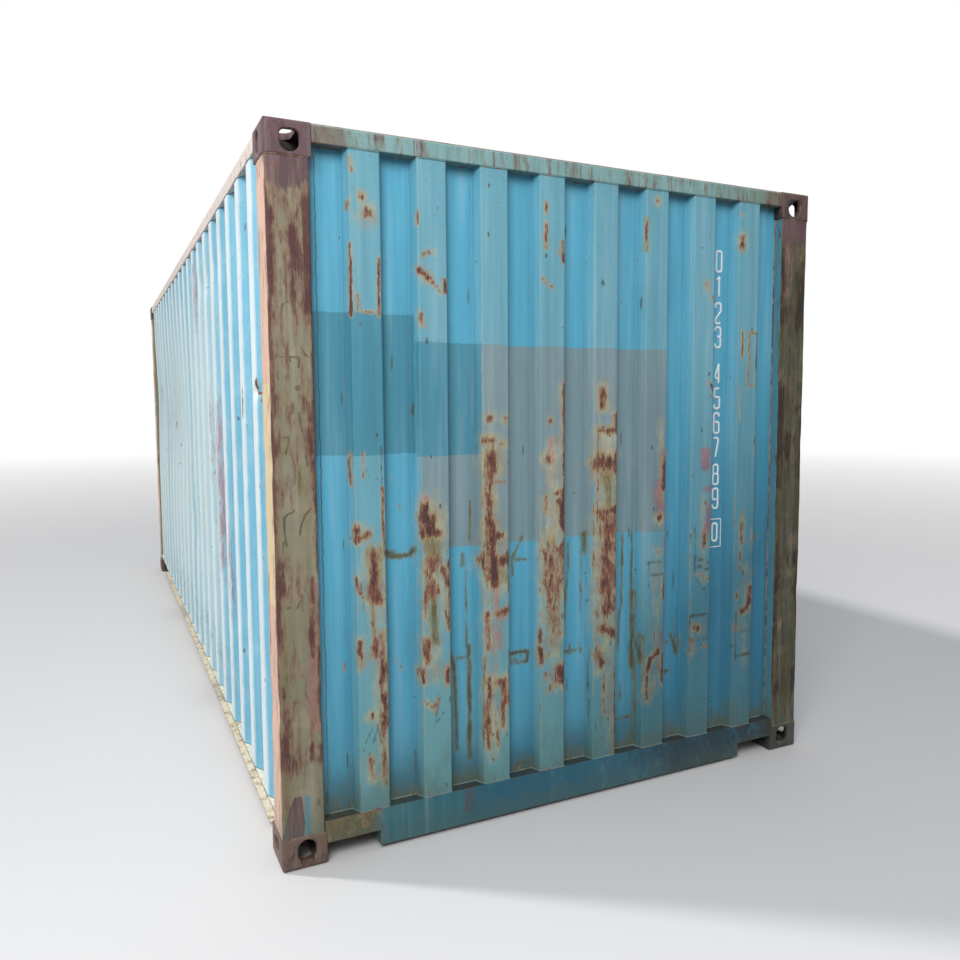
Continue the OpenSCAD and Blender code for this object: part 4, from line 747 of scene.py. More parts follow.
class CONTAINER_OT_posts(bpy.types.Operator):
    """Fold the four corner posts and mark their rust"""

    bl_idname = "container.posts"
    bl_label = "Corner Posts"

    def execute(self, context):
        posts, sheets = context.scene.container_posts, context.scene.container_sheets
        for end, end_name in ((-1, "front"), (1, "rear")):
            for side, side_name in ((-1, "left"), (1, "right")):
                node = f"{end_name}_{side_name}_post"
                low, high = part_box(node)
                corner_x, corner_y = side * CAD_BOUNDS[1][0], end * CAD_BOUNDS[1][1]
                seed = 2.0 * side + end

                def push(travel, x, y, z):
                    wave = np.sin(z * 9 + seed) + np.sin(z * 23 + 2 * seed) + 0.6 * np.sin(z * 51 + seed)
                    fade = np.clip(np.minimum(z - low[2], high[2] - z) / 0.05, 0, 1)
                    knock = dented(z, np.zeros_like(z), [(700 + 40 * seed, 0, 60, 1, 2.5), (1450, 0, 40, 1, 1.8), (2050, 0, 50, 1, 1.5)])
                    return (0.0004 * (wave + 2.6) + knock) * fade

                def looks(travel, x, y, z, knees):
                    across = np.abs(corner_x - x)
                    along = np.abs(corner_y - y)
                    on_end = along < 0.012
                    width = posts.front_width if end < 0 else posts.rear_width
                    depth = posts.front_length if end < 0 else posts.rear_length
                    u = np.where(on_end, across / width, along / depth)
                    level = z if close else low[2] + np.mod(z + 0.61 * seed, high[2] - low[2])
                    spot = np.where(on_end, across, u * 0.156)
                    faint = np.where(on_end, 1.0, 0.35)
                    rust = 0.46 * stroked(spot, level, POST_RUST, 1.3) + 0.32 * stroked(spot, level, POST_RUST, 3.2)
                    rust = (rust + 0.22 + 0.10 * np.clip((z - 1.5) / 0.7, 0, 1)) * faint
                    bare = np.exp(-((np.maximum(high[2] - z - 0.02, 0) / 0.095) ** 2)) * np.where(on_end, 1.0, 0.3)
                    inner = ~on_end & (across > 0.012)
                    over = (inner & (end < 0)) + 0.0 * z
                    if close:
                        down = np.clip((0.271 - z) / 0.153, 0, 1)
                        tongue = np.abs(across - (0.061 - 0.021 * down)) / (0.006 + 0.032 * np.sqrt(down))
                        bare = np.maximum(bare, np.where(on_end & (z < 0.27), np.clip(3.0 * (1.2 - tongue), 0, 1), 0.0))
                        over = np.maximum(over, 0.62 * np.exp(-(((across - 0.094) / 0.015) ** 2)) * (on_end & (z < 0.27)))
                    rust = rust * (1 - 0.85 * np.clip(bare, 0, 1))
                    # Only the left posts' outer side faces turn pale: painted sunlight over bleached paint.
                    pale = np.where(on_end | inner, 0.0, 1.0) * (side < 0)
                    return {
                        "rust": np.where(inner, 0.12, rust),
                        "over": over,
                        "line": np.where(on_end, stroked(spot, level, POST_LINES), 0.0),
                        "stain": stroked(spot, level, POST_STAIN) * faint,
                        "primer": stroked(spot, level, POST_PRIMER) * faint,
                        "bare": bare + 0 * x,
                        "out": pale + 0 * z,
                        "edge": near_knees(travel, knees, 1, 0.010) + 0 * z,
                        # Concave bends: painted shade
                        "gap": near_knees(travel, knees, -1, 0.012) + 0 * z,
                    }

                close = node == "front_left_post"
                line = fold_line(post_corners(posts, sheets, end, side), posts.bend, 0.0045 if close else 0.008, 6)
                rows = heights_between(low[2], high[2], 0.007 if close else 0.014)
                piece = folded_plate(node + "_plate", line, rows, posts.plate, push, looks, 6 if close else 3)
                placed(piece, "post", node)
        return {"FINISHED"}


class CONTAINER_OT_welds(bpy.types.Operator):
    """Lay weld beads between walls, rails, posts and castings"""

    bl_idname = "container.welds"
    bl_label = "Welds"

    def execute(self, context):
        posts, sheets = context.scene.container_posts, context.scene.container_sheets
        radius = posts.bead
        low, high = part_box("front_wall")
        recess = low[1] + sheets.front_depth
        wall_parts, post_parts = [], []
        z = heights_between(low[2], high[2], 0.008)
        flat = np.zeros_like(z)
        for side in (-1, 1):
            path = np.stack([flat + side * (high[0] - 0.0005), flat + recess - 0.0005, z], axis=-1)
            post_parts.append(bead(path, np.broadcast_to([-side, -1.0, 0.0], path.shape), radius))
            for end in (-1, 1):
                box_low, box_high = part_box("left_wall" if side < 0 else "right_wall")
                x = side * (max(abs(box_low[0]), abs(box_high[0])) - sheets.side_depth + 0.0005)
                y = (box_low[1] if end < 0 else box_high[1]) - end * 0.0005
                path = np.stack([flat + x, flat + y, z], axis=-1)
                wall_parts.append(bead(path, np.broadcast_to([side, -float(end), 0.0], path.shape), radius))
        lines = [(front_line(sheets, 0.012), low[2], high[2])]
        for side, name in ((-1, "left_wall"), (1, "right_wall")):
            side_low, side_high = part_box(name)
            lines.append((side_line(sheets, side, 0.020), side_low[2], side_high[2]))
        for (points, normals, _, _), bottom, top in lines:
            inner = slice(2, -2)
            for level, up in ((bottom, 1.0), (top, -1.0)):
                path = np.column_stack([points[inner] - normals[inner] * 0.0003, np.full(len(points[inner]), level + up * 0.0003)])
                lift = np.column_stack([normals[inner], np.full(len(points[inner]), up)])
                wall_parts.append(bead(path, lift, radius * 0.8))
        for end, end_name in ((-1, "front"), (1, "rear")):
            for side, side_name in ((-1, "left"), (1, "right")):
                post_low, post_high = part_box(f"{end_name}_{side_name}_post")
                points, normals, _, _ = fold_line(post_corners(posts, sheets, end, side)[1:-1], posts.bend, 0.006, 6)
                for level, up in ((post_low[2], 1.0), (post_high[2], -1.0)):
                    path = np.column_stack([points, np.full(len(points), level + up * 0.0005)])
                    lift = np.column_stack([normals, np.full(len(points), up * 0.8)])
                    post_parts.append(bead(path - np.column_stack([normals, flat[: len(points)]]) * 0.001, lift, radius * 0.9))
        for name, slot, parts in (("wall_welds", "side_panel", wall_parts), ("post_welds", "post", post_parts)):
            vertices, faces = joined(parts)
            placed(new_object(name, vertices, faces.tolist(), 60.0), slot)
        return {"FINISHED"}


# ---------------------------------------------------------------- door end and figures


class CONTAINER_OT_door_bolts(bpy.types.Operator):
    """Set the bolts of the hinges, rod brackets and handle catches"""

    bl_idname = "container.door_bolts"
    bl_label = "Door Bolts"

    def execute(self, context):
        bolts = context.scene.container_door_bolts
        leaf_low, leaf_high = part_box("left_door")
        hinge_low, hinge_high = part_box("left_hinges")
        rails = np.linspace(leaf_low[2] + 0.150, leaf_high[2] - 0.150, 4)
        hinge_face = CAD_BOUNDS[1][1] - 0.058
        plate_face = CAD_BOUNDS[1][1] - 0.060
        hinge_x = np.array([-1.088, -1.040])
        rod_x = np.array([-0.945, -0.305])
        bands = np.array([leaf_low[2] + 0.075, rails[1], rails[2], leaf_high[2] - 0.075])
        grids = [
            (hinge_x, rails, (0.0, 0.0), (-0.026, 0.026), hinge_face, bolts.hinge_bolt),
            (rod_x, bands, (-0.035, 0.035), (0.0,), plate_face, bolts.bracket_bolt),
            (np.array([-0.615]), np.array([1.108]), (-0.030, 0.030), (0.0,), plate_face, bolts.bracket_bolt),
            (np.array([-0.635]), np.array([1.018]), (-0.030, 0.030), (0.0,), plate_face, bolts.bracket_bolt),
        ]
        parts = []
        for xs, zs, dx, dz, face, radius in grids:
            points, quads = dome(radius, bolts.head)
            spots = {
                (round(side * (x + a), 5), round(z + b, 5))
                for x in xs.tolist() for z in zs.tolist() for a in set(dx) for b in dz for side in (-1, 1)
            }
            for x, z in sorted(spots):
                parts.append((points + np.array([x, face, z]), quads))
        vertices, faces = joined(parts)
        piece = new_object("door_bolt_heads", vertices, faces[:, ::-1].tolist(), 40.0)
        placed(piece, "gear")
        return {"FINISHED"}


# Strokes of plain narrow figures in a unit cell, their corners rounded later
FIGURES = {
    0: [[(0.5, 1), (0.0, 1), (0.0, 0), (1.0, 0), (1.0, 1), (0.5, 1)]],
    1: [[(0.18, 0.82), (0.60, 1)], [(0.60, 1), (0.60, 0)]],
    2: [[(0.0, 0.74), (0.0, 1), (1.0, 1), (1.0, 0.60), (0.0, 0.20), (0.0, 0)], [(0.0, 0), (1.0, 0)]],
    3: [[(0.0, 0.80), (0.0, 1), (1.0, 1), (1.0, 0.53), (0.35, 0.53)], [(0.35, 0.53), (1.0, 0.53), (1.0, 0), (0.0, 0), (0.0, 0.20)]],
    4: [[(0.78, 1), (0.0, 0.26), (1.08, 0.26)], [(0.78, 1), (0.78, 0)]],
    5: [[(1.0, 1), (0.05, 1), (0.02, 0.52), (1.0, 0.62), (1.0, 0), (0.0, 0), (0.0, 0.20)]],
    6: [[(1.0, 0.82), (1.0, 1), (0.0, 1), (0.0, 0), (1.0, 0), (1.0, 0.56), (0.18, 0.56)]],
    7: [[(0.0, 1), (1.0, 1), (0.40, 0)]],
    8: [[(0.5, 0.53), (0.06, 0.53), (0.06, 1), (0.94, 1), (0.94, 0.53), (0.5, 0.53)],
        [(0.5, 0.53), (0.0, 0.53), (0.0, 0), (1.0, 0), (1.0, 0.53), (0.5, 0.53)]],
    9: [[(0.0, 0.18), (0.0, 0), (1.0, 0), (1.0, 1), (0.0, 1), (0.0, 0.44), (0.82, 0.44)]],
}


def stroke_band(points, width, face):
    """Flat band of the width along a plane line, standing upright at Y equal to face."""
    along = np.gradient(points, axis=0)
    along /= np.linalg.norm(along, axis=1, keepdims=True)
    right = turn_right(along) * width / 2
    across = np.linspace(-1, 1, 3)[None, :, None]
    band = points[:, None] + right[:, None] * across
    vertices = np.stack([band[..., 0], np.full(band.shape[:2], face), band[..., 1]], axis=-1)
    return vertices.reshape(-1, 3), grid_faces(len(points), 3)


class CONTAINER_OT_numbers(bpy.types.Operator):
    """Paint a column of plain figures on the front wall"""

    bl_idname = "container.numbers"
    bl_label = "Figures"

    def execute(self, context):
        numbers, sheets = context.scene.container_numbers, context.scene.container_sheets
        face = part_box("front_wall")[0][1] + sheets.front_depth - 0.0009
        size = np.array([numbers.width, numbers.height])
        tops = [2.310, 2.200, 2.085, 1.980, 1.820, 1.710, 1.600, 1.490, 1.370, 1.262, 1.104]
        parts = []
        for figure, top in zip([0, 1, 2, 3, 4, 5, 6, 7, 8, 9, 0], tops):
            scale = size if top > 1.2 else size * 0.9
            corner = np.array([numbers.centre, top]) - scale * [0.5, 1]
            for layer, points in enumerate(FIGURES[figure]):
                curve = fold_line(np.asarray(points) * scale + corner, 0.0095, 0.01)[0]
                parts.append(stroke_band(curve, numbers.stroke, face - 0.0001 * layer))
        half, low, high = 0.034, 0.998, 1.124
        frame_line = [(0, low), (half, low), (half, high), (-half, high), (-half, low), (0, low)]
        box_line = np.asarray(frame_line) + [numbers.centre, 0]
        parts.append(stroke_band(fold_line(box_line, 0.002, 0.01)[0], 0.005, face))
        vertices, faces = joined(parts)
        piece = new_object("wall_figures", vertices, faces.tolist(), 30.0)
        thick = piece.modifiers.new("Paint film", "SOLIDIFY")
        thick.thickness = 0.0004
        thick.offset = -1
        placed(piece, "front_panel")
        return {"FINISHED"}


# ---------------------------------------------------------------- finishes


class Nodes:
    """Places shader nodes; an input is a number, a colour or another node's socket."""

    def __init__(self, tree):
        self.tree = tree

    def feed(self, socket, value):
        if isinstance(value, bpy.types.NodeSocket):
            self.tree.links.new(value, socket)
        elif socket.type == "RGBA" and len(value) == 3:
            socket.default_value = (*value, 1.0)
        else:
            socket.default_value = value

    def put(self, kind, inputs=None, **settings):
        node = self.tree.nodes.new(kind)
        for key, value in settings.items():
            setattr(node, key, value)
        for key, value in (inputs or {}).items():
            self.feed(node.inputs[key], value)
        return node

    def math(self, operation, a, b=0.0, clamp=False):
        return self.put("ShaderNodeMath", {0: a, 1: b}, operation=operation, use_clamp=clamp).outputs[0]

    def spread(self, value, low, high):
        """0 at low and 1 at high, held outside them."""
        return self.put("ShaderNodeMapRange", {0: value, 1: low, 2: high}, clamp=True).outputs[0]

    def mix(self, share, a, b, blend="MIX"):
        node = self.put("ShaderNodeMix", None, data_type="RGBA", blend_type=blend)
        for index, value in ((0, share), (6, a), (7, b)):
            self.feed(node.inputs[index], value)
        return node.outputs[2]

    def noise(self, vector, scale, detail=4.0, roughness=0.6, distortion=0.0):
        node = self.put("ShaderNodeTexNoise", {"Vector": vector, "Scale": scale, "Detail": detail})
        self.feed(node.inputs["Roughness"], roughness)
        self.feed(node.inputs["Distortion"], distortion)
        return node.outputs[0]

    def scaled(self, vector, x, y, z):
        return self.put("ShaderNodeVectorMath", {0: vector, 1: (x, y, z)}, operation="MULTIPLY").outputs[0]

    def group(self, name, inputs):
        node = self.put("ShaderNodeGroup", None, node_tree=bpy.data.node_groups[name])
        for key, value in inputs.items():
            self.feed(node.inputs[key], value)
        return node


def new_group(name, inputs, outputs):
    """Shader node group with named sockets: inputs are (name, kind, default), outputs (name, kind)."""
    group = bpy.data.node_groups.new(name, "ShaderNodeTree")
    for label, kind, default in inputs:
        socket = group.interface.new_socket(label, in_out="INPUT", socket_type="NodeSocket" + kind)
        if default is not None:
            socket.default_value = (*default, 1.0) if kind == "Color" else default
    for label, kind in outputs:
        group.interface.new_socket(label, in_out="OUTPUT", socket_type="NodeSocket" + kind)
    nodes = Nodes(group)
    start = nodes.put("NodeGroupInput").outputs
    end = nodes.put("NodeGroupOutput")
    return nodes, start, end


def ragged_mask_group():
    """Mask of a fraying patch: noise plus amount past a threshold, and a wider halo of it."""
    nodes, start, end = new_group(
        "Ragged Mask",
        [("Vector", "Vector", None), ("Amount", "Float", 0.5), ("Scale", "Float", 30.0), ("Stretch", "Float", 2.0),
         ("Softness", "Float", 0.06), ("Halo", "Float", 0.07)],
        [("Mask", "Float"), ("Halo", "Float")],
    )
    thin = nodes.math("DIVIDE", 1.0, start["Stretch"])
    factors = nodes.put("ShaderNodeCombineXYZ", {0: 1.0, 1: 1.0, 2: thin}).outputs[0]
    place = nodes.put("ShaderNodeVectorMath", {0: start["Vector"], 1: factors}, operation="MULTIPLY").outputs[0]
    coarse = nodes.noise(place, start["Scale"], 5.0, 0.62, 0.4)
    fine = nodes.noise(place, nodes.math("MULTIPLY", start["Scale"], 4.0), 3.0, 0.7)
    ragged = nodes.math("ADD", nodes.math("MULTIPLY", coarse, 0.65), nodes.math("MULTIPLY", fine, 0.35))
    contrast = nodes.math("MULTIPLY", nodes.math("SUBTRACT", ragged, 0.5), 2.4)
    over = nodes.math("SUBTRACT", nodes.math("ADD", contrast, start["Amount"]), 0.45)
    any_at_all = nodes.spread(start["Amount"], 0.02, 0.12)
    mask = nodes.math("DIVIDE", over, start["Softness"], True)
    nodes.feed(end.inputs["Mask"], nodes.math("MULTIPLY", mask, any_at_all))
    wide = nodes.math("ADD", over, start["Halo"])
    soft = nodes.math("MULTIPLY", start["Softness"], 1.6)
    nodes.feed(end.inputs["Halo"], nodes.math("MULTIPLY", nodes.math("DIVIDE", wide, soft, True), any_at_all))


def worn_paint_group():
    """Paint that is mottled, streaked down and bleached where it stands out."""
    nodes, start, end = new_group(
        "Worn Paint",
        [("Vector", "Vector", None), ("Coat", "Color", (0.5, 0.5, 0.5)), ("Bleached", "Color", (0.8, 0.8, 0.8)),
         ("Out", "Float", 0.0)],
        [("Color", "Color"), ("Roughness", "Float"), ("Height", "Float")],
    )
    vector = start["Vector"]
    broad = nodes.noise(vector, 1.7, 3.0)
    middle = nodes.noise(vector, 9.0, 5.0, 0.65)
    streak = nodes.noise(nodes.scaled(vector, 26.0, 26.0, 1.1), 1.0, 4.0, 0.6)
    fine = nodes.noise(nodes.scaled(vector, 1.0, 1.0, 0.6), 160.0, 2.0, 0.6)
    chalky = nodes.math("ADD", start["Out"], nodes.math("MULTIPLY", nodes.math("SUBTRACT", middle, 0.5), 0.9), True)
    color = nodes.mix(chalky, start["Coat"], start["Bleached"])
    dark = nodes.mix(0.55, color, (0.0, 0.0, 0.0))
    pale = nodes.mix(0.28, color, (1.0, 1.0, 1.0))
    color = nodes.mix(nodes.math("MULTIPLY", nodes.spread(broad, 0.50, 0.80), 0.22), color, dark)
    color = nodes.mix(nodes.math("MULTIPLY", nodes.spread(streak, 0.52, 0.74), 0.30), color, dark)
    color = nodes.mix(nodes.math("MULTIPLY", nodes.spread(streak, 0.50, 0.28), 0.35), color, pale)
    color = nodes.mix(nodes.math("MULTIPLY", nodes.spread(fine, 0.60, 0.74), 0.28), color, dark)
    nodes.feed(end.inputs["Color"], color)
    nodes.feed(end.inputs["Roughness"], nodes.math("ADD", 0.46, nodes.math("MULTIPLY", middle, 0.26)))
    nodes.feed(end.inputs["Height"], nodes.math("ADD", nodes.math("MULTIPLY", middle, 0.5), nodes.math("MULTIPLY", fine, 0.2)))


def rust_layers_group():
    """Rust over paint: as one ragged amount rises, stained paint turns to brown rust and then to a dark core."""
    nodes, start, end = new_group(
        "Rust Layers",
        [("Vector", "Vector", None), ("Paint", "Color", (0.5, 0.5, 0.5)), ("Amount", "Float", 0.3), ("Scale", "Float", 30.0),
         ("Stretch", "Float", 2.0), ("Ragged", "Float", 1.0), ("Softness", "Float", 0.14),
         ("Stained", "Color", (0.4, 0.3, 0.2)), ("Brown", "Color", (0.3, 0.12, 0.05)), ("Core", "Color", (0.1, 0.05, 0.03))],
        [("Color", "Color"), ("Mask", "Float"), ("Height", "Float")],
    )
    thin = nodes.math("DIVIDE", 1.0, start["Stretch"])
    factors = nodes.put("ShaderNodeCombineXYZ", {0: 1.0, 1: 1.0, 2: thin}).outputs[0]
    place = nodes.put("ShaderNodeVectorMath", {0: start["Vector"], 1: factors}, operation="MULTIPLY").outputs[0]
    coarse = nodes.noise(place, start["Scale"], 5.0, 0.62, 0.4)
    fine = nodes.noise(place, nodes.math("MULTIPLY", start["Scale"], 4.0), 3.0, 0.7)
    mixed = nodes.math("ADD", nodes.math("MULTIPLY", coarse, 0.65), nodes.math("MULTIPLY", fine, 0.35))
    swing = nodes.math("MULTIPLY", nodes.math("MULTIPLY", nodes.math("SUBTRACT", mixed, 0.5), 2.4), start["Ragged"])
    level = nodes.math("ADD", start["Amount"], swing)
    some = nodes.spread(start["Amount"], 0.03, 0.14)
    stained = nodes.math("MULTIPLY", nodes.spread(level, 0.20, 0.42), nodes.spread(start["Amount"], 0.06, 0.34))
    brown = nodes.math("MULTIPLY", nodes.spread(level, 0.40, nodes.math("ADD", start["Softness"], 0.40)), some)
    core = nodes.math("MULTIPLY", nodes.spread(level, 0.54, nodes.math("ADD", start["Softness"], 0.54)), some)
    patch = nodes.noise(start["Vector"], 15.0, 4.0, 0.65, 0.4)
    pits = nodes.noise(start["Vector"], 120.0, 3.0, 0.7)
    stain_color = nodes.mix(nodes.spread(patch, 0.46, 0.62), start["Stained"], nodes.mix(0.55, start["Stained"], start["Brown"]))
    core_color = nodes.mix(nodes.math("MULTIPLY", nodes.spread(patch, 0.48, 0.66), 0.7), start["Core"], start["Brown"])
    core_color = nodes.mix(nodes.math("MULTIPLY", nodes.spread(pits, 0.55, 0.75), 0.45), core_color, (0.02, 0.012, 0.01))
    color = nodes.mix(nodes.math("MULTIPLY", stained, 0.72), start["Paint"], stain_color)
    color = nodes.mix(nodes.math("MULTIPLY", brown, 0.88), color, start["Brown"])
    color = nodes.mix(core, color, core_color)
    nodes.feed(end.inputs["Color"], color)
    nodes.feed(end.inputs["Mask"], nodes.math("MAXIMUM", brown, core))
    nodes.feed(end.inputs["Height"], nodes.math("ADD", patch, nodes.math("MULTIPLY", pits, 0.6)))


def flecks_group():
    """Small upright flecks: of all cells a share carries a spot, its size the cell's own, within a warped distance of its centre."""
    nodes, start, end = new_group(
        "Flecks",
        [("Vector", "Vector", None), ("Scale", "Float", 20.0), ("Stretch", "Float", 2.0), ("Share", "Float", 0.4),
         ("Size", "Float", 0.1)],
        [("Mask", "Float")],
    )
    thin = nodes.math("DIVIDE", start["Scale"], start["Stretch"])
    flat = nodes.math("MULTIPLY", start["Scale"], 0.3)
    factors = nodes.put("ShaderNodeCombineXYZ", {0: start["Scale"], 1: flat, 2: thin}).outputs[0]
    place = nodes.put("ShaderNodeVectorMath", {0: start["Vector"], 1: factors}, operation="MULTIPLY").outputs[0]
    warp = nodes.put("ShaderNodeTexNoise", {"Vector": place, "Scale": 4.0, "Detail": 3.0}).outputs[1]
    place = nodes.put("ShaderNodeVectorMath", {0: warp, 1: (0.22, 0.22, 0.22), 2: place}, operation="MULTIPLY_ADD").outputs[0]
    cells = nodes.put("ShaderNodeTexVoronoi", {"Vector": place, "Scale": 1.0}).outputs
    own = nodes.put("ShaderNodeSeparateColor", {0: cells["Color"]}).outputs
    chosen = nodes.math("LESS_THAN", own[0], start["Share"])
    size = nodes.math("MULTIPLY", start["Size"], nodes.math("ADD", own[1], 0.35))
    depth = nodes.math("DIVIDE", nodes.math("SUBTRACT", size, cells["Distance"]), nodes.math("MULTIPLY", size, 0.4), True)
    nodes.feed(end.inputs["Mask"], nodes.math("MULTIPLY", depth, chosen))


def painted_field_group():
    """Upright rectangle of paint in X and Z with a slightly uneven rim."""
    nodes, start, end = new_group(
        "Painted Field",
        [("Vector", "Vector", None), ("Left", "Float", -1.0), ("Right", "Float", 1.0), ("Low", "Float", 0.0),
         ("High", "Float", 1.0)],
        [("Mask", "Float")],
    )
    parts = nodes.put("ShaderNodeSeparateXYZ", {0: start["Vector"]}).outputs
    wobble = nodes.math("MULTIPLY", nodes.math("SUBTRACT", nodes.noise(start["Vector"], 24.0, 3.0), 0.5), 0.012)
    x, z = nodes.math("ADD", parts[0], wobble), nodes.math("ADD", parts[2], wobble)
    rims = [nodes.math("SUBTRACT", x, start["Left"]), nodes.math("SUBTRACT", start["Right"], x),
            nodes.math("SUBTRACT", z, start["Low"]), nodes.math("SUBTRACT", start["High"], z)]
    depth = nodes.math("MINIMUM", nodes.math("MINIMUM", rims[0], rims[1]), nodes.math("MINIMUM", rims[2], rims[3]))
    nodes.feed(end.inputs["Mask"], nodes.spread(depth, -0.001, 0.002))


def edge_wear_group():
    """Worn edges: where the rounded normal turns away from the true one."""
    nodes, start, end = new_group("Edge Wear", [("Radius", "Float", 0.004)], [("Edge", "Float")])
    rounded = nodes.put("ShaderNodeBevel", {"Radius": start["Radius"]}, samples=4).outputs[0]
    true = nodes.put("ShaderNodeNewGeometry").outputs["Normal"]
    same = nodes.put("ShaderNodeVectorMath", {0: rounded, 1: true}, operation="DOT_PRODUCT").outputs["Value"]
    nodes.feed(end.inputs["Edge"], nodes.spread(same, 0.99, 0.82))


def ground_dirt_group():
    """Dirt that thins with height, ragged and streaked: mask of a point between the ground and a reach."""
    nodes, start, end = new_group(
        "Ground Dirt", [("Vector", "Vector", None), ("Reach", "Float", 0.35), ("Amount", "Float", 0.6)], [("Mask", "Float")]
    )
    height = nodes.put("ShaderNodeSeparateXYZ", {0: start["Vector"]}).outputs[2]
    low = nodes.math("SUBTRACT", 1.0, nodes.math("DIVIDE", height, start["Reach"]), True)
    cloud = nodes.noise(nodes.scaled(start["Vector"], 1.0, 1.0, 0.4), 16.0, 6.0, 0.7)
    level = nodes.math("SUBTRACT", nodes.math("ADD", cloud, nodes.math("MULTIPLY", low, 0.7)), 0.62)
    nodes.feed(end.inputs["Mask"], nodes.math("MULTIPLY", nodes.spread(level, 0.0, 0.35), start["Amount"]))


def depth_inside_group():
    """How deep a point lies under the container's own box: 0 within 12 mm of a face of it, 1 from 35 mm on."""
    nodes, start, end = new_group("Depth Inside", [("Vector", "Vector", None)], [("Mask", "Float")])
    half, top = CAD_BOUNDS[1], CAD_BOUNDS[1][2]
    across, along, up = nodes.put("ShaderNodeSeparateXYZ", {0: start["Vector"]}).outputs
    side = nodes.math("SUBTRACT", float(half[0]), nodes.math("ABSOLUTE", across))
    face = nodes.math("SUBTRACT", float(half[1]), nodes.math("ABSOLUTE", along))
    level = nodes.math("MINIMUM", up, nodes.math("SUBTRACT", float(top), up))
    depth = nodes.math("MINIMUM", nodes.math("MINIMUM", side, face), level)
    nodes.feed(end.inputs["Mask"], nodes.spread(depth, 0.012, 0.035))


def principled(name):
    """New material with its shader, and the nodes helper for it."""
    material = bpy.data.materials.new(name)
    material.use_nodes = True
    nodes = Nodes(material.node_tree)
    shader = material.node_tree.nodes["Principled BSDF"]
    return material, nodes, shader


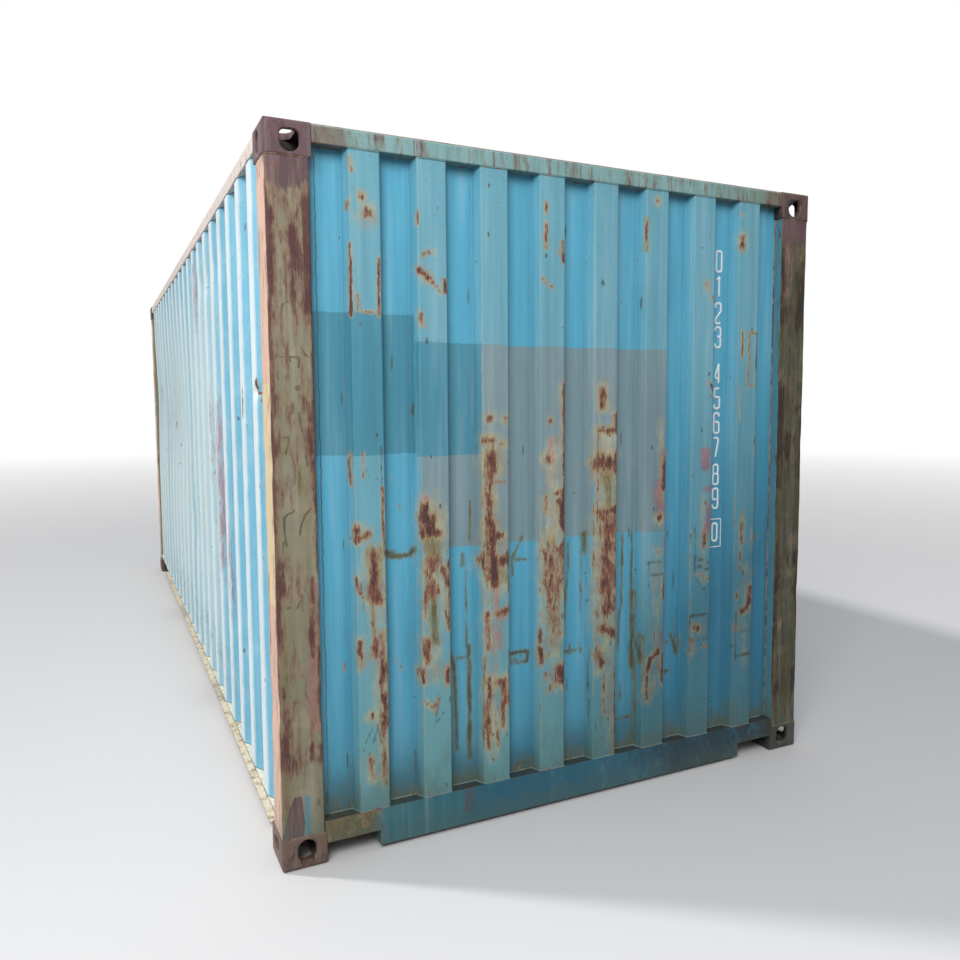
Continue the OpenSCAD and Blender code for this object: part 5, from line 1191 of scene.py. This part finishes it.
def weathered_steel(name, paint, coat, bleached, marks=False, edge=0.30, rust=0.0, grime=0.5, reach=0.35, fields=(),
                    scale=26.0, stretch=2.2, ragged=1.0, softness=0.14, streak=0.0, rust_colors=None, ends=(), dust=None,
                    film=None, speckle=0.12, flecks=0.0, metal=0.0, above=0.0, below=0.0, hollow=False):
    """Painted steel with its wear, from the coat up: paint, painted fields, stains, primer, rust and dirt, and painted
    shade.

    With marks, the sheet's own point values say where stains, primer, rust, edges and hollows are; without them
    the edges are found by the shader. ragged is how much noise breaks the rust up, softness how gently it starts
    and streak how much runs down in it. ends are colours and the places across between which each one comes in.
    above and below say how much faces that look up or down are darkened: painted shade, with some dirt on ledges that
    look up.
    """
    material, nodes, shader = principled(name)
    place = nodes.put("ShaderNodeTexCoord").outputs["Object"]

    def value(label):
        return nodes.put("ShaderNodeAttribute", None, attribute_name=label).outputs["Fac"]

    out = value("out") if marks else 0.35
    worn = nodes.group("Worn Paint", {"Vector": place, "Coat": coat, "Bleached": bleached, "Out": out}).outputs
    color = worn["Color"]
    for field_color, left, right, low, high, strength in fields:
        mask = nodes.group("Painted Field", {"Vector": place, "Left": left, "Right": right, "Low": low, "High": high}).outputs[0]
        thin = nodes.math("MULTIPLY", mask, strength)
        shaded = nodes.group("Worn Paint", {"Vector": place, "Coat": field_color, "Bleached": field_color, "Out": 0.0}).outputs[0]
        color = nodes.mix(thin, color, shaded)
    if dust is not None:
        color = nodes.mix(nodes.math("MULTIPLY", value("dust"), 0.75), color, dust)
    # A teal darkening where the sheet's darkening value says so: painted shade, with some grime at the foot.
    if film is not None:
        color = nodes.mix(nodes.math("MULTIPLY", value("film"), 0.5), color, nodes.mix(1.0, color, film, "MULTIPLY"))
    if marks:
        # Darker in the concave bends and hollows that the gap value marks: painted shade.
        gap, rim, rust_amount = value("gap"), value("edge"), value("rust")
        gap_shade = nodes.math("MULTIPLY", gap, 0.34)
        color = nodes.mix(gap_shade, color, nodes.mix(0.6, color, (0.02, 0.025, 0.02)))
    else:
        rim, rust_amount = nodes.group("Edge Wear", {}).outputs[0], rust
    rust_amount = nodes.math("ADD", rust_amount, nodes.math("MULTIPLY", rim, edge))
    runs = nodes.noise(nodes.scaled(place, 64.0, 64.0, 4.0), 1.0, 4.0, 0.6)
    if streak:
        swing = nodes.math("MULTIPLY", nodes.math("SUBTRACT", runs, 0.5), streak)
        rust_amount = nodes.math("ADD", rust_amount, swing)
    if marks:
        cloud = nodes.math("SUBTRACT", nodes.noise(nodes.scaled(place, 52.0, 52.0, 13.0), 1.0, 6.0, 0.72), 0.5)
        two = nodes.spread(nodes.noise(place, 13.0, 3.0), 0.42, 0.62)
        for label, low, high, strength, patch in (
            ("over", 0.30, 0.60, 0.90, linear(80, 140, 158)),
            ("haze", 0.16, 0.80, 0.80, nodes.mix(two, linear(190, 178, 132), linear(162, 136, 104))),
            ("cream", 0.10, 0.70, 0.72, nodes.mix(two, linear(196, 190, 160), linear(176, 158, 122))),
            ("stain", 0.12, 0.42, 0.55, tuple(paint.olive)),
            ("stain", 0.34, 0.72, 0.86, nodes.mix(two, linear(66, 62, 40), linear(104, 84, 48))),
            ("line", 0.30, 0.64, 0.80, linear(80, 66, 50)),
            ("primer", 0.20, 0.56, 0.72, nodes.mix(two, tuple(paint.primer), linear(152, 88, 92))),
            ("bare", 0.30, 0.50, 0.95, nodes.mix(nodes.spread(runs, 0.42, 0.66), linear(84, 58, 64), linear(118, 88, 90))),
        ):
            level = nodes.math("ADD", value(label), nodes.math("MULTIPLY", cloud, 1.7))
            some = nodes.spread(value(label), 0.04, 0.16)
            run = nodes.math("MULTIPLY", nodes.spread(level, low, high), some)
            color = nodes.mix(nodes.math("MULTIPLY", run, strength), color, patch)
    for end_color, from_x, to_x, end_rust in ends:
        x = nodes.put("ShaderNodeSeparateXYZ", {0: place}).outputs[0]
        near = nodes.spread(x, from_x, to_x)
        frayed = nodes.group("Ragged Mask", {"Vector": place, "Amount": near, "Scale": 9.0, "Stretch": 1.5, "Softness": 0.5}).outputs[0]
        color = nodes.mix(nodes.math("MULTIPLY", frayed, 0.90), color, end_color)
        if end_rust:
            rust_amount = nodes.math("ADD", rust_amount, nodes.math("MULTIPLY", near, end_rust))
    if flecks:
        level = nodes.put("ShaderNodeSeparateXYZ", {0: place}).outputs[2]
        share = nodes.math("MULTIPLY", nodes.math("ADD", nodes.spread(level, 2.3, 1.1), 0.25), flecks)
        for scale_by, stretch_by, share_by, size in ((20.0, 2.0, 1.0, 0.10), (26.0, 8.0, 0.7, 0.09), (9.0, 1.4, 0.5, 0.07)):
            spots = nodes.group(
                "Flecks",
                {"Vector": place, "Scale": scale_by, "Stretch": stretch_by, "Share": nodes.math("MULTIPLY", share, share_by), "Size": size},
            ).outputs[0]
            color = nodes.mix(nodes.math("MULTIPLY", spots, 0.8), color, linear(84, 74, 52))
    dots = nodes.group("Ragged Mask", {"Vector": place, "Amount": speckle, "Scale": 42.0, "Stretch": 1.3, "Softness": 0.05}).outputs["Mask"]
    color = nodes.mix(nodes.math("MULTIPLY", dots, 0.8), color, nodes.mix(0.5, tuple(paint.olive), tuple(paint.rust_dark)))
    core, brown, stained = rust_colors or (tuple(paint.rust_dark), tuple(paint.rust_bright), tuple(paint.fringe))
    spot = nodes.group(
        "Rust Layers",
        {"Vector": place, "Paint": color, "Amount": rust_amount, "Scale": scale, "Stretch": stretch, "Ragged": ragged,
         "Softness": softness, "Stained": stained, "Brown": brown, "Core": core},
    ).outputs
    color = spot["Color"]
    # A neutral darkening over the rust in the same places: more painted shade.
    if film is not None:
        color = nodes.mix(nodes.math("MULTIPLY", value("film"), 0.8), color, nodes.mix(1.0, color, (0.48, 0.60, 0.68), "MULTIPLY"))
    if grime:
        dirt = nodes.group("Ground Dirt", {"Vector": place, "Reach": reach, "Amount": grime}).outputs[0]
        color = nodes.mix(dirt, color, linear(84, 96, 82))
    # Darker faces that look up or down: painted shade, with some dirt on the ledges.
    if above or below:
        tilt = nodes.put("ShaderNodeSeparateXYZ", {0: nodes.put("ShaderNodeNewGeometry").outputs["Normal"]}).outputs[2]
        up = nodes.math("MULTIPLY", nodes.spread(tilt, 0.4, 0.8), above)
        down = nodes.math("MULTIPLY", nodes.spread(tilt, -0.4, -0.8), below)
        color = nodes.mix(nodes.math("ADD", up, down), color, linear(48, 52, 48))
    # Near black deep inside the castings' holes: painted shade.
    if hollow:
        inside = nodes.group("Depth Inside", {"Vector": place}).outputs[0]
        color = nodes.mix(nodes.math("MULTIPLY", inside, 0.85), color, (0.012, 0.010, 0.011))
    nodes.feed(shader.inputs["Base Color"], color)
    rough = nodes.math("ADD", worn["Roughness"], nodes.math("MULTIPLY", spot["Mask"], 0.25), True)
    nodes.feed(shader.inputs["Roughness"], rough)
    shader.inputs["Metallic"].default_value = metal
    flaked = nodes.math("ADD", worn["Height"], nodes.math("MULTIPLY", spot["Mask"], nodes.math("SUBTRACT", spot["Height"], 1.4)))
    bump = nodes.put("ShaderNodeBump", {"Height": flaked, "Strength": 0.35, "Distance": 0.002})
    nodes.feed(shader.inputs["Normal"], bump.outputs[0])
    return material


def figure_paint(name, paint):
    """White figures worn through to the wall's paint."""
    material, nodes, shader = principled(name)
    place = nodes.put("ShaderNodeTexCoord").outputs["Object"]
    wall = nodes.group("Worn Paint", {"Vector": place, "Coat": tuple(paint.front_blue), "Bleached": tuple(paint.front_chalk), "Out": 0.0}).outputs
    gone = nodes.group("Ragged Mask", {"Vector": place, "Amount": 0.16, "Scale": 40.0, "Stretch": 1.0, "Softness": 0.12}).outputs["Mask"]
    nodes.feed(shader.inputs["Base Color"], nodes.mix(gone, tuple(paint.figures), wall["Color"]))
    nodes.feed(shader.inputs["Roughness"], nodes.math("ADD", wall["Roughness"], 0.1))
    return material


def plywood(name, paint):
    """Boards of dark plywood with long grain, scuffed."""
    material, nodes, shader = principled(name)
    place = nodes.put("ShaderNodeTexCoord").outputs["Object"]
    grain = nodes.noise(nodes.scaled(place, 40.0, 2.0, 40.0), 1.0, 6.0, 0.65, 0.3)
    stain = nodes.noise(place, 3.0, 4.0)
    color = nodes.mix(nodes.spread(grain, 0.35, 0.68), nodes.mix(0.5, tuple(paint.wood), (0.02, 0.012, 0.008)), tuple(paint.wood))
    color = nodes.mix(nodes.math("MULTIPLY", nodes.spread(stain, 0.5, 0.75), 0.5), color, (0.05, 0.04, 0.03))
    nodes.feed(shader.inputs["Base Color"], color)
    nodes.feed(shader.inputs["Roughness"], nodes.math("ADD", 0.6, nodes.math("MULTIPLY", grain, 0.3)))
    bump = nodes.put("ShaderNodeBump", {"Height": grain, "Strength": 0.3, "Distance": 0.001})
    nodes.feed(shader.inputs["Normal"], bump.outputs[0])
    return material


def rubber(name, paint):
    """Perished rubber with chalky bloom."""
    material, nodes, shader = principled(name)
    place = nodes.put("ShaderNodeTexCoord").outputs["Object"]
    bloom = nodes.noise(place, 22.0, 6.0, 0.7)
    nodes.feed(shader.inputs["Base Color"], nodes.mix(nodes.spread(bloom, 0.45, 0.8), tuple(paint.rubber), linear(92, 92, 90)))
    nodes.feed(shader.inputs["Roughness"], nodes.math("ADD", 0.55, nodes.math("MULTIPLY", bloom, 0.35)))
    bump = nodes.put("ShaderNodeBump", {"Height": bloom, "Strength": 0.25, "Distance": 0.001})
    nodes.feed(shader.inputs["Normal"], bump.outputs[0])
    return material


def wear(material, *names):
    """Gives the material to nodes and pieces by name."""
    for name in names:
        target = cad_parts.get(name) or bpy.data.objects[name]
        target.data.materials.clear()
        target.data.materials.append(material)


class CONTAINER_OT_finishes(bpy.types.Operator):
    """Give every part its weathered finish"""

    bl_idname = "container.finishes"
    bl_label = "Finishes"

    def execute(self, context):
        paint = context.scene.container_paint
        for make in (ragged_mask_group, worn_paint_group, rust_layers_group, flecks_group, painted_field_group, edge_wear_group,
                     ground_dirt_group, depth_inside_group):
            make()
        blue, chalk = tuple(paint.front_blue), tuple(paint.front_chalk)
        teal, grey = tuple(paint.dark_teal), tuple(paint.field_grey)
        fields = [
            (grey, -0.680, 0.441, 1.101, 1.871, 0.90),
            (teal, -1.059, -0.689, 1.467, 1.971, 0.95),
            (teal, -0.689, -0.430, 1.455, 1.875, 0.95),
            (linear(50, 92, 104), -1.041, -1.036, 0.2, 2.5, 0.90),
        ]
        wear(
            weathered_steel("front_panel_paint", paint, blue, chalk, marks=True, fields=fields, edge=0.10, reach=0.42,
                            scale=46.0, stretch=3.4, ragged=0.72, dust=linear(106, 156, 158), film=(0.16, 0.40, 0.43),
                            speckle=0.12, flecks=0.7),
            "front_wall_sheet",
        )
        # Pale side wall colours: painted sunlight over bleached paint.
        wear(
            weathered_steel("side_panel_paint", paint, tuple(paint.side_blue), tuple(paint.side_chalk_and_sunlight), marks=True,
                            dust=tuple(paint.side_beige), edge=0.10, grime=0.06, speckle=0.14, flecks=0.3),
            "left_wall_sheet", "right_wall_sheet",
        )
        olive = tuple(paint.post_olive)
        # Peach on the left posts' side faces and cream on their middle: painted sunlight.
        peach = linear(234, 190, 166)
        painted_sunlight = [(linear(238, 216, 170), -1.2300, -1.2090, 0.95, 1.72, 0.85)]
        left_rust = (linear(88, 56, 54), linear(114, 82, 68), linear(138, 116, 92))
        # The right posts get a much darker coat and rust: painted shade over a browner paint.
        right_rust = (linear(44, 33, 26), linear(62, 49, 34), linear(82, 76, 46))
        for side, coat, colors, sunlit in (("left", olive, left_rust, painted_sunlight), ("right", linear(56, 59, 37), right_rust, ())):
            wear(
                weathered_steel(f"{side}_post_paint", paint, coat, peach, marks=True, edge=0.10, scale=34.0, stretch=4.0,
                                ragged=0.85, softness=0.34, streak=1.4, speckle=0.14, flecks=0.5, rust_colors=colors, fields=sunlit),
                f"front_{side}_post_plate", f"rear_{side}_post_plate",
            )
        wear(weathered_steel("post_weld_paint", paint, linear(104, 90, 82), linear(120, 104, 92), rust=0.50, edge=0.0), "post_welds")
        wear(weathered_steel("wall_weld_paint", paint, linear(84, 140, 152), linear(88, 134, 142), rust=0.30, edge=0.0), "wall_welds")
        casting_rust = (linear(66, 45, 50), linear(98, 66, 66), linear(118, 92, 90))
        shaded_rust = (linear(40, 34, 32), linear(56, 46, 40), linear(66, 58, 52))
        for name, coat, faded, colors, castings in (
            ("purple", linear(80, 54, 62), linear(100, 72, 78), casting_rust, ("front_left_top", "rear_left_top")),
            ("brown", linear(108, 76, 62), linear(136, 100, 82), casting_rust, ("front_left_bottom", "rear_left_bottom")),
            ("dark", linear(56, 42, 33), linear(72, 56, 44), casting_rust, ("front_right_top", "rear_right_top")),
            ("shaded", linear(40, 36, 34), linear(52, 46, 42), shaded_rust, ("front_right_bottom", "rear_right_bottom")),
        ):
            wear(
                weathered_steel(f"{name}_casting_rust", paint, coat, faded, rust=0.28, edge=0.12, grime=0.25,
                                rust_colors=colors, hollow=True),
                *[f"{casting}_casting" for casting in castings],
            )
        pale, rail_teal = tuple(paint.rail_pale), tuple(paint.rail_teal)
        # Its underside is darkened: painted shade.
        wear(
            weathered_steel("front_top_rail_paint", paint, pale, linear(136, 172, 168), rust=0.27, edge=0.34, below=0.3,
                            stretch=4.0, softness=0.30, streak=0.9,
                            rust_colors=(linear(92, 64, 62), linear(112, 88, 78), linear(122, 126, 110)),
                            fields=[(linear(84, 58, 48), -0.695, -0.690, 2.3, 2.7, 0.9)],
                            ends=((linear(112, 80, 72), -0.80, -1.02, 0.14), (linear(112, 128, 108), 0.10, 1.10, 0.03),
                                  (linear(104, 84, 68), 0.90, 1.04, 0.12))),
            "front_top_rail",
        )
        wear(
            # Towards the right the bottom rail turns dark: painted shade. Its faces that look up are darkened too:
            # painted shade with some dirt.
            weathered_steel("front_bottom_rail_paint", paint, rail_teal, linear(66, 118, 124), rust=0.08, edge=0.22, grime=0.35,
                            reach=0.14, above=0.85,
                            fields=[(linear(104, 70, 52), -0.515, -0.470, 0.06, 0.20, 0.85), (linear(96, 70, 56), 0.50, 0.58, 0.03, 0.16, 0.55)],
                            ends=((linear(96, 86, 56), -0.80, -0.90, 0.14), (linear(38, 92, 112), -0.66, -0.45, 0.0),
                                  (linear(28, 52, 62), 0.00, 0.55, 0.0), (linear(38, 41, 39), 0.50, 1.05, 0.0))),
            "front_bottom_rail",
        )
        # Near-white coat on the top side rails: painted sunlight over bleached paint.
        wear(weathered_steel("side_top_rail_paint", paint, linear(236, 218, 208), linear(244, 232, 224), rust=0.18, edge=0.20),
             "left_top_rail", "right_top_rail")
        wear(weathered_steel("header_paint", paint, tuple(paint.side_blue), tuple(paint.side_chalk_and_sunlight), rust=0.20, edge=0.24), "rear_header")
        wear(weathered_steel("side_bottom_rail_paint", paint, tuple(paint.lip_cream), linear(240, 232, 214), rust=0.24, edge=0.40, grime=0.12, reach=0.2),
             "left_bottom_rail", "right_bottom_rail")
        wear(weathered_steel("sill_paint", paint, rail_teal, pale, rust=0.30, edge=0.30, reach=0.2), "rear_sill")
        wear(weathered_steel("roof_paint", paint, linear(112, 172, 196), linear(176, 198, 200), rust=0.14, edge=0.20, grime=0.0,
                             scale=7.0, ragged=0.8, softness=0.30, speckle=0.06), "roof")
        wear(weathered_steel("roof_plate_rust", paint, linear(142, 146, 132), linear(160, 162, 148), rust=0.34, edge=0.16, grime=0.0,
                             scale=8.0, ragged=0.7, softness=0.34, speckle=0.06), "roof_end_plates")
        wear(weathered_steel("underframe_coat", paint, linear(74, 72, 68), linear(98, 92, 84), rust=0.34, edge=0.2),
             "cross_members", "front_fork_pocket", "rear_fork_pocket")
        wear(weathered_steel("door_paint", paint, tuple(paint.side_blue), chalk, rust=0.20, edge=0.26), "left_door", "right_door")
        zinc = tuple(paint.zinc)
        gear = [f"{s}_{n}" for s in ("left", "right") for n in ("hinges", "lock_rods", "rod_brackets", "handles")]
        wear(weathered_steel("gear_zinc", paint, zinc, linear(178, 180, 180), rust=0.30, edge=0.16, grime=0.2, metal=0.35),
             "keepers", "door_bolt_heads", *gear)
        wear(figure_paint("figure_paint", paint), "wall_figures")
        wear(plywood("floor_plywood", paint), "floor_boards")
        wear(rubber("seal_rubber_finish", paint), "left_door_seal", "right_door_seal")
        return {"FINISHED"}


# ---------------------------------------------------------------- stage


def lamp(name, direction, strength, softness):
    """Sun lamp that shines along the direction."""
    light = bpy.data.lights.new(name, "SUN")
    light.energy = strength
    light.angle = softness
    lamp_object = bpy.data.objects.new(name, light)
    lamp_object.rotation_mode = "QUATERNION"
    lamp_object.rotation_quaternion = Vector(direction).to_track_quat("-Z", "Y")
    bpy.context.scene.collection.objects.link(lamp_object)


def seen_directly(nodes):
    """1 for what the camera sees straight, in a mirror or through glass."""
    path = nodes.put("ShaderNodeLightPath").outputs
    seen = nodes.math("MAXIMUM", path["Is Camera Ray"], path["Is Glossy Ray"])
    return nodes.math("MAXIMUM", seen, path["Is Transmission Ray"])


class CONTAINER_OT_stage(bpy.types.Operator):
    """Set up the light, the floor and the camera"""

    bl_idname = "container.stage"
    bl_label = "Stage"

    def execute(self, context):
        stage = context.scene.container_stage
        scene = context.scene
        scene.view_settings.view_transform = "Standard"
        world = bpy.data.worlds.new("soft_studio")
        scene.world = world
        world.use_nodes = True
        nodes = Nodes(world.node_tree)
        world.node_tree.nodes.clear()
        around = nodes.put("ShaderNodeBackground", {"Color": (0.93, 0.97, 1.0), "Strength": stage.ambient})
        white = nodes.put("ShaderNodeBackground", {"Color": (1.0, 1.0, 1.0), "Strength": 1.0})
        chosen = nodes.put("ShaderNodeMixShader", {0: seen_directly(nodes), 1: around.outputs[0], 2: white.outputs[0]})
        nodes.put("ShaderNodeOutputWorld", {0: chosen.outputs[0]})
        lamp("key_lamp", (0.62, -0.45, -0.65), stage.key, 0.08)
        light = bpy.data.lights.new("front_softbox", "AREA")
        light.shape = "SQUARE"
        light.size = 3.0
        light.energy = stage.fill
        softbox = bpy.data.objects.new("front_softbox", light)
        place = Vector((-3.4, -7.2, 5.2))
        turn = (Vector((-0.4, -3.0, 1.6)) - place).to_track_quat("-Z", "Y")
        softbox.matrix_world = Matrix.Translation(place) @ turn.to_matrix().to_4x4()
        scene.collection.objects.link(softbox)

        u = np.linspace(-1, 1, 25)
        x, y = np.meshgrid(60 * u * np.abs(u), 60 * u * np.abs(u), indexing="ij")
        floor = new_object("floor", np.stack([x, y, np.zeros_like(x)], axis=-1), grid_faces(25, 25).tolist())
        material, nodes, shader = principled("floor_finish")
        place = nodes.put("ShaderNodeTexCoord").outputs["Object"]
        cloud = nodes.noise(place, 0.6, 3.0)
        base = tuple(stage.floor)
        pale = nodes.mix(nodes.math("MULTIPLY", cloud, 0.12), base, linear(228, 228, 230))
        nodes.feed(shader.inputs["Base Color"], nodes.mix(seen_directly(nodes), linear(120, 122, 126), pale))
        shader.inputs["Roughness"].default_value = 0.9
        far = nodes.put("ShaderNodeVectorMath", {0: place}, operation="LENGTH").outputs["Value"]
        fade = nodes.math("MULTIPLY", nodes.spread(far, 6.0, 24.0), seen_directly(nodes))
        glow = nodes.put("ShaderNodeEmission", {"Color": (1.0, 1.0, 1.0), "Strength": 1.0})
        both = nodes.put("ShaderNodeMixShader", {0: fade, 1: shader.outputs[0], 2: glow.outputs[0]})
        output = material.node_tree.nodes["Material Output"]
        nodes.feed(output.inputs["Surface"], both.outputs[0])
        floor.data.materials.append(material)

        camera_data = bpy.data.cameras.new("camera")
        camera_data.lens = 30.86
        camera_data.sensor_width = 36.0
        camera_data.sensor_fit = "HORIZONTAL"
        camera_data.shift_x = -0.02747
        camera_data.shift_y = -0.00793
        camera_data.clip_end = 300
        camera = bpy.data.objects.new("camera", camera_data)
        turn = (
            Matrix.Rotation(math.radians(-26.453), 4, "Z")
            @ Matrix.Rotation(math.radians(90 - 4.849), 4, "X")
            @ Matrix.Rotation(math.radians(-0.2396), 4, "Z")
        )
        camera.matrix_world = Matrix.Translation((-1.7407, -5.8561, 1.6524)) @ turn
        scene.collection.objects.link(camera)
        scene.camera = camera
        return {"FINISHED"}


class CONTAINER_PT_looks(bpy.types.Panel):
    """Lists the container's pieces in the order in which they are built."""

    bl_label = "Shipping Container"
    bl_idname = "CONTAINER_PT_looks"
    bl_space_type = "VIEW_3D"
    bl_region_type = "UI"
    bl_category = "Container"

    def draw(self, context):
        for operator in OPERATORS:
            self.layout.operator(operator.bl_idname)
        for name in SETTINGS:
            box = self.layout.box()
            for prop in getattr(context.scene, name).__annotations__:
                box.prop(getattr(context.scene, name), prop)


SETTINGS = {
    "container_sheets": ContainerSheets,
    "container_posts": ContainerPosts,
    "container_door_bolts": ContainerDoorBolts,
    "container_numbers": ContainerNumbers,
    "container_paint": ContainerPaint,
    "container_stage": ContainerStage,
}
OPERATORS = [
    CONTAINER_OT_front_wall,
    CONTAINER_OT_side_walls,
    CONTAINER_OT_posts,
    CONTAINER_OT_welds,
    CONTAINER_OT_door_bolts,
    CONTAINER_OT_numbers,
    CONTAINER_OT_finishes,
    CONTAINER_OT_stage,
]


def register():
    for cls in (*SETTINGS.values(), *OPERATORS, CONTAINER_PT_looks):
        bpy.utils.register_class(cls)
    for name, group in SETTINGS.items():
        setattr(bpy.types.Scene, name, PointerProperty(type=group))


def unregister():
    for name in SETTINGS:
        delattr(bpy.types.Scene, name)
    for cls in reversed((*SETTINGS.values(), *OPERATORS, CONTAINER_PT_looks)):
        bpy.utils.unregister_class(cls)


def main():
    register()
    for operator in OPERATORS:
        family, action = operator.bl_idname.split(".")
        getattr(getattr(bpy.ops, family), action)()


if __name__ == "__main__":
    main()
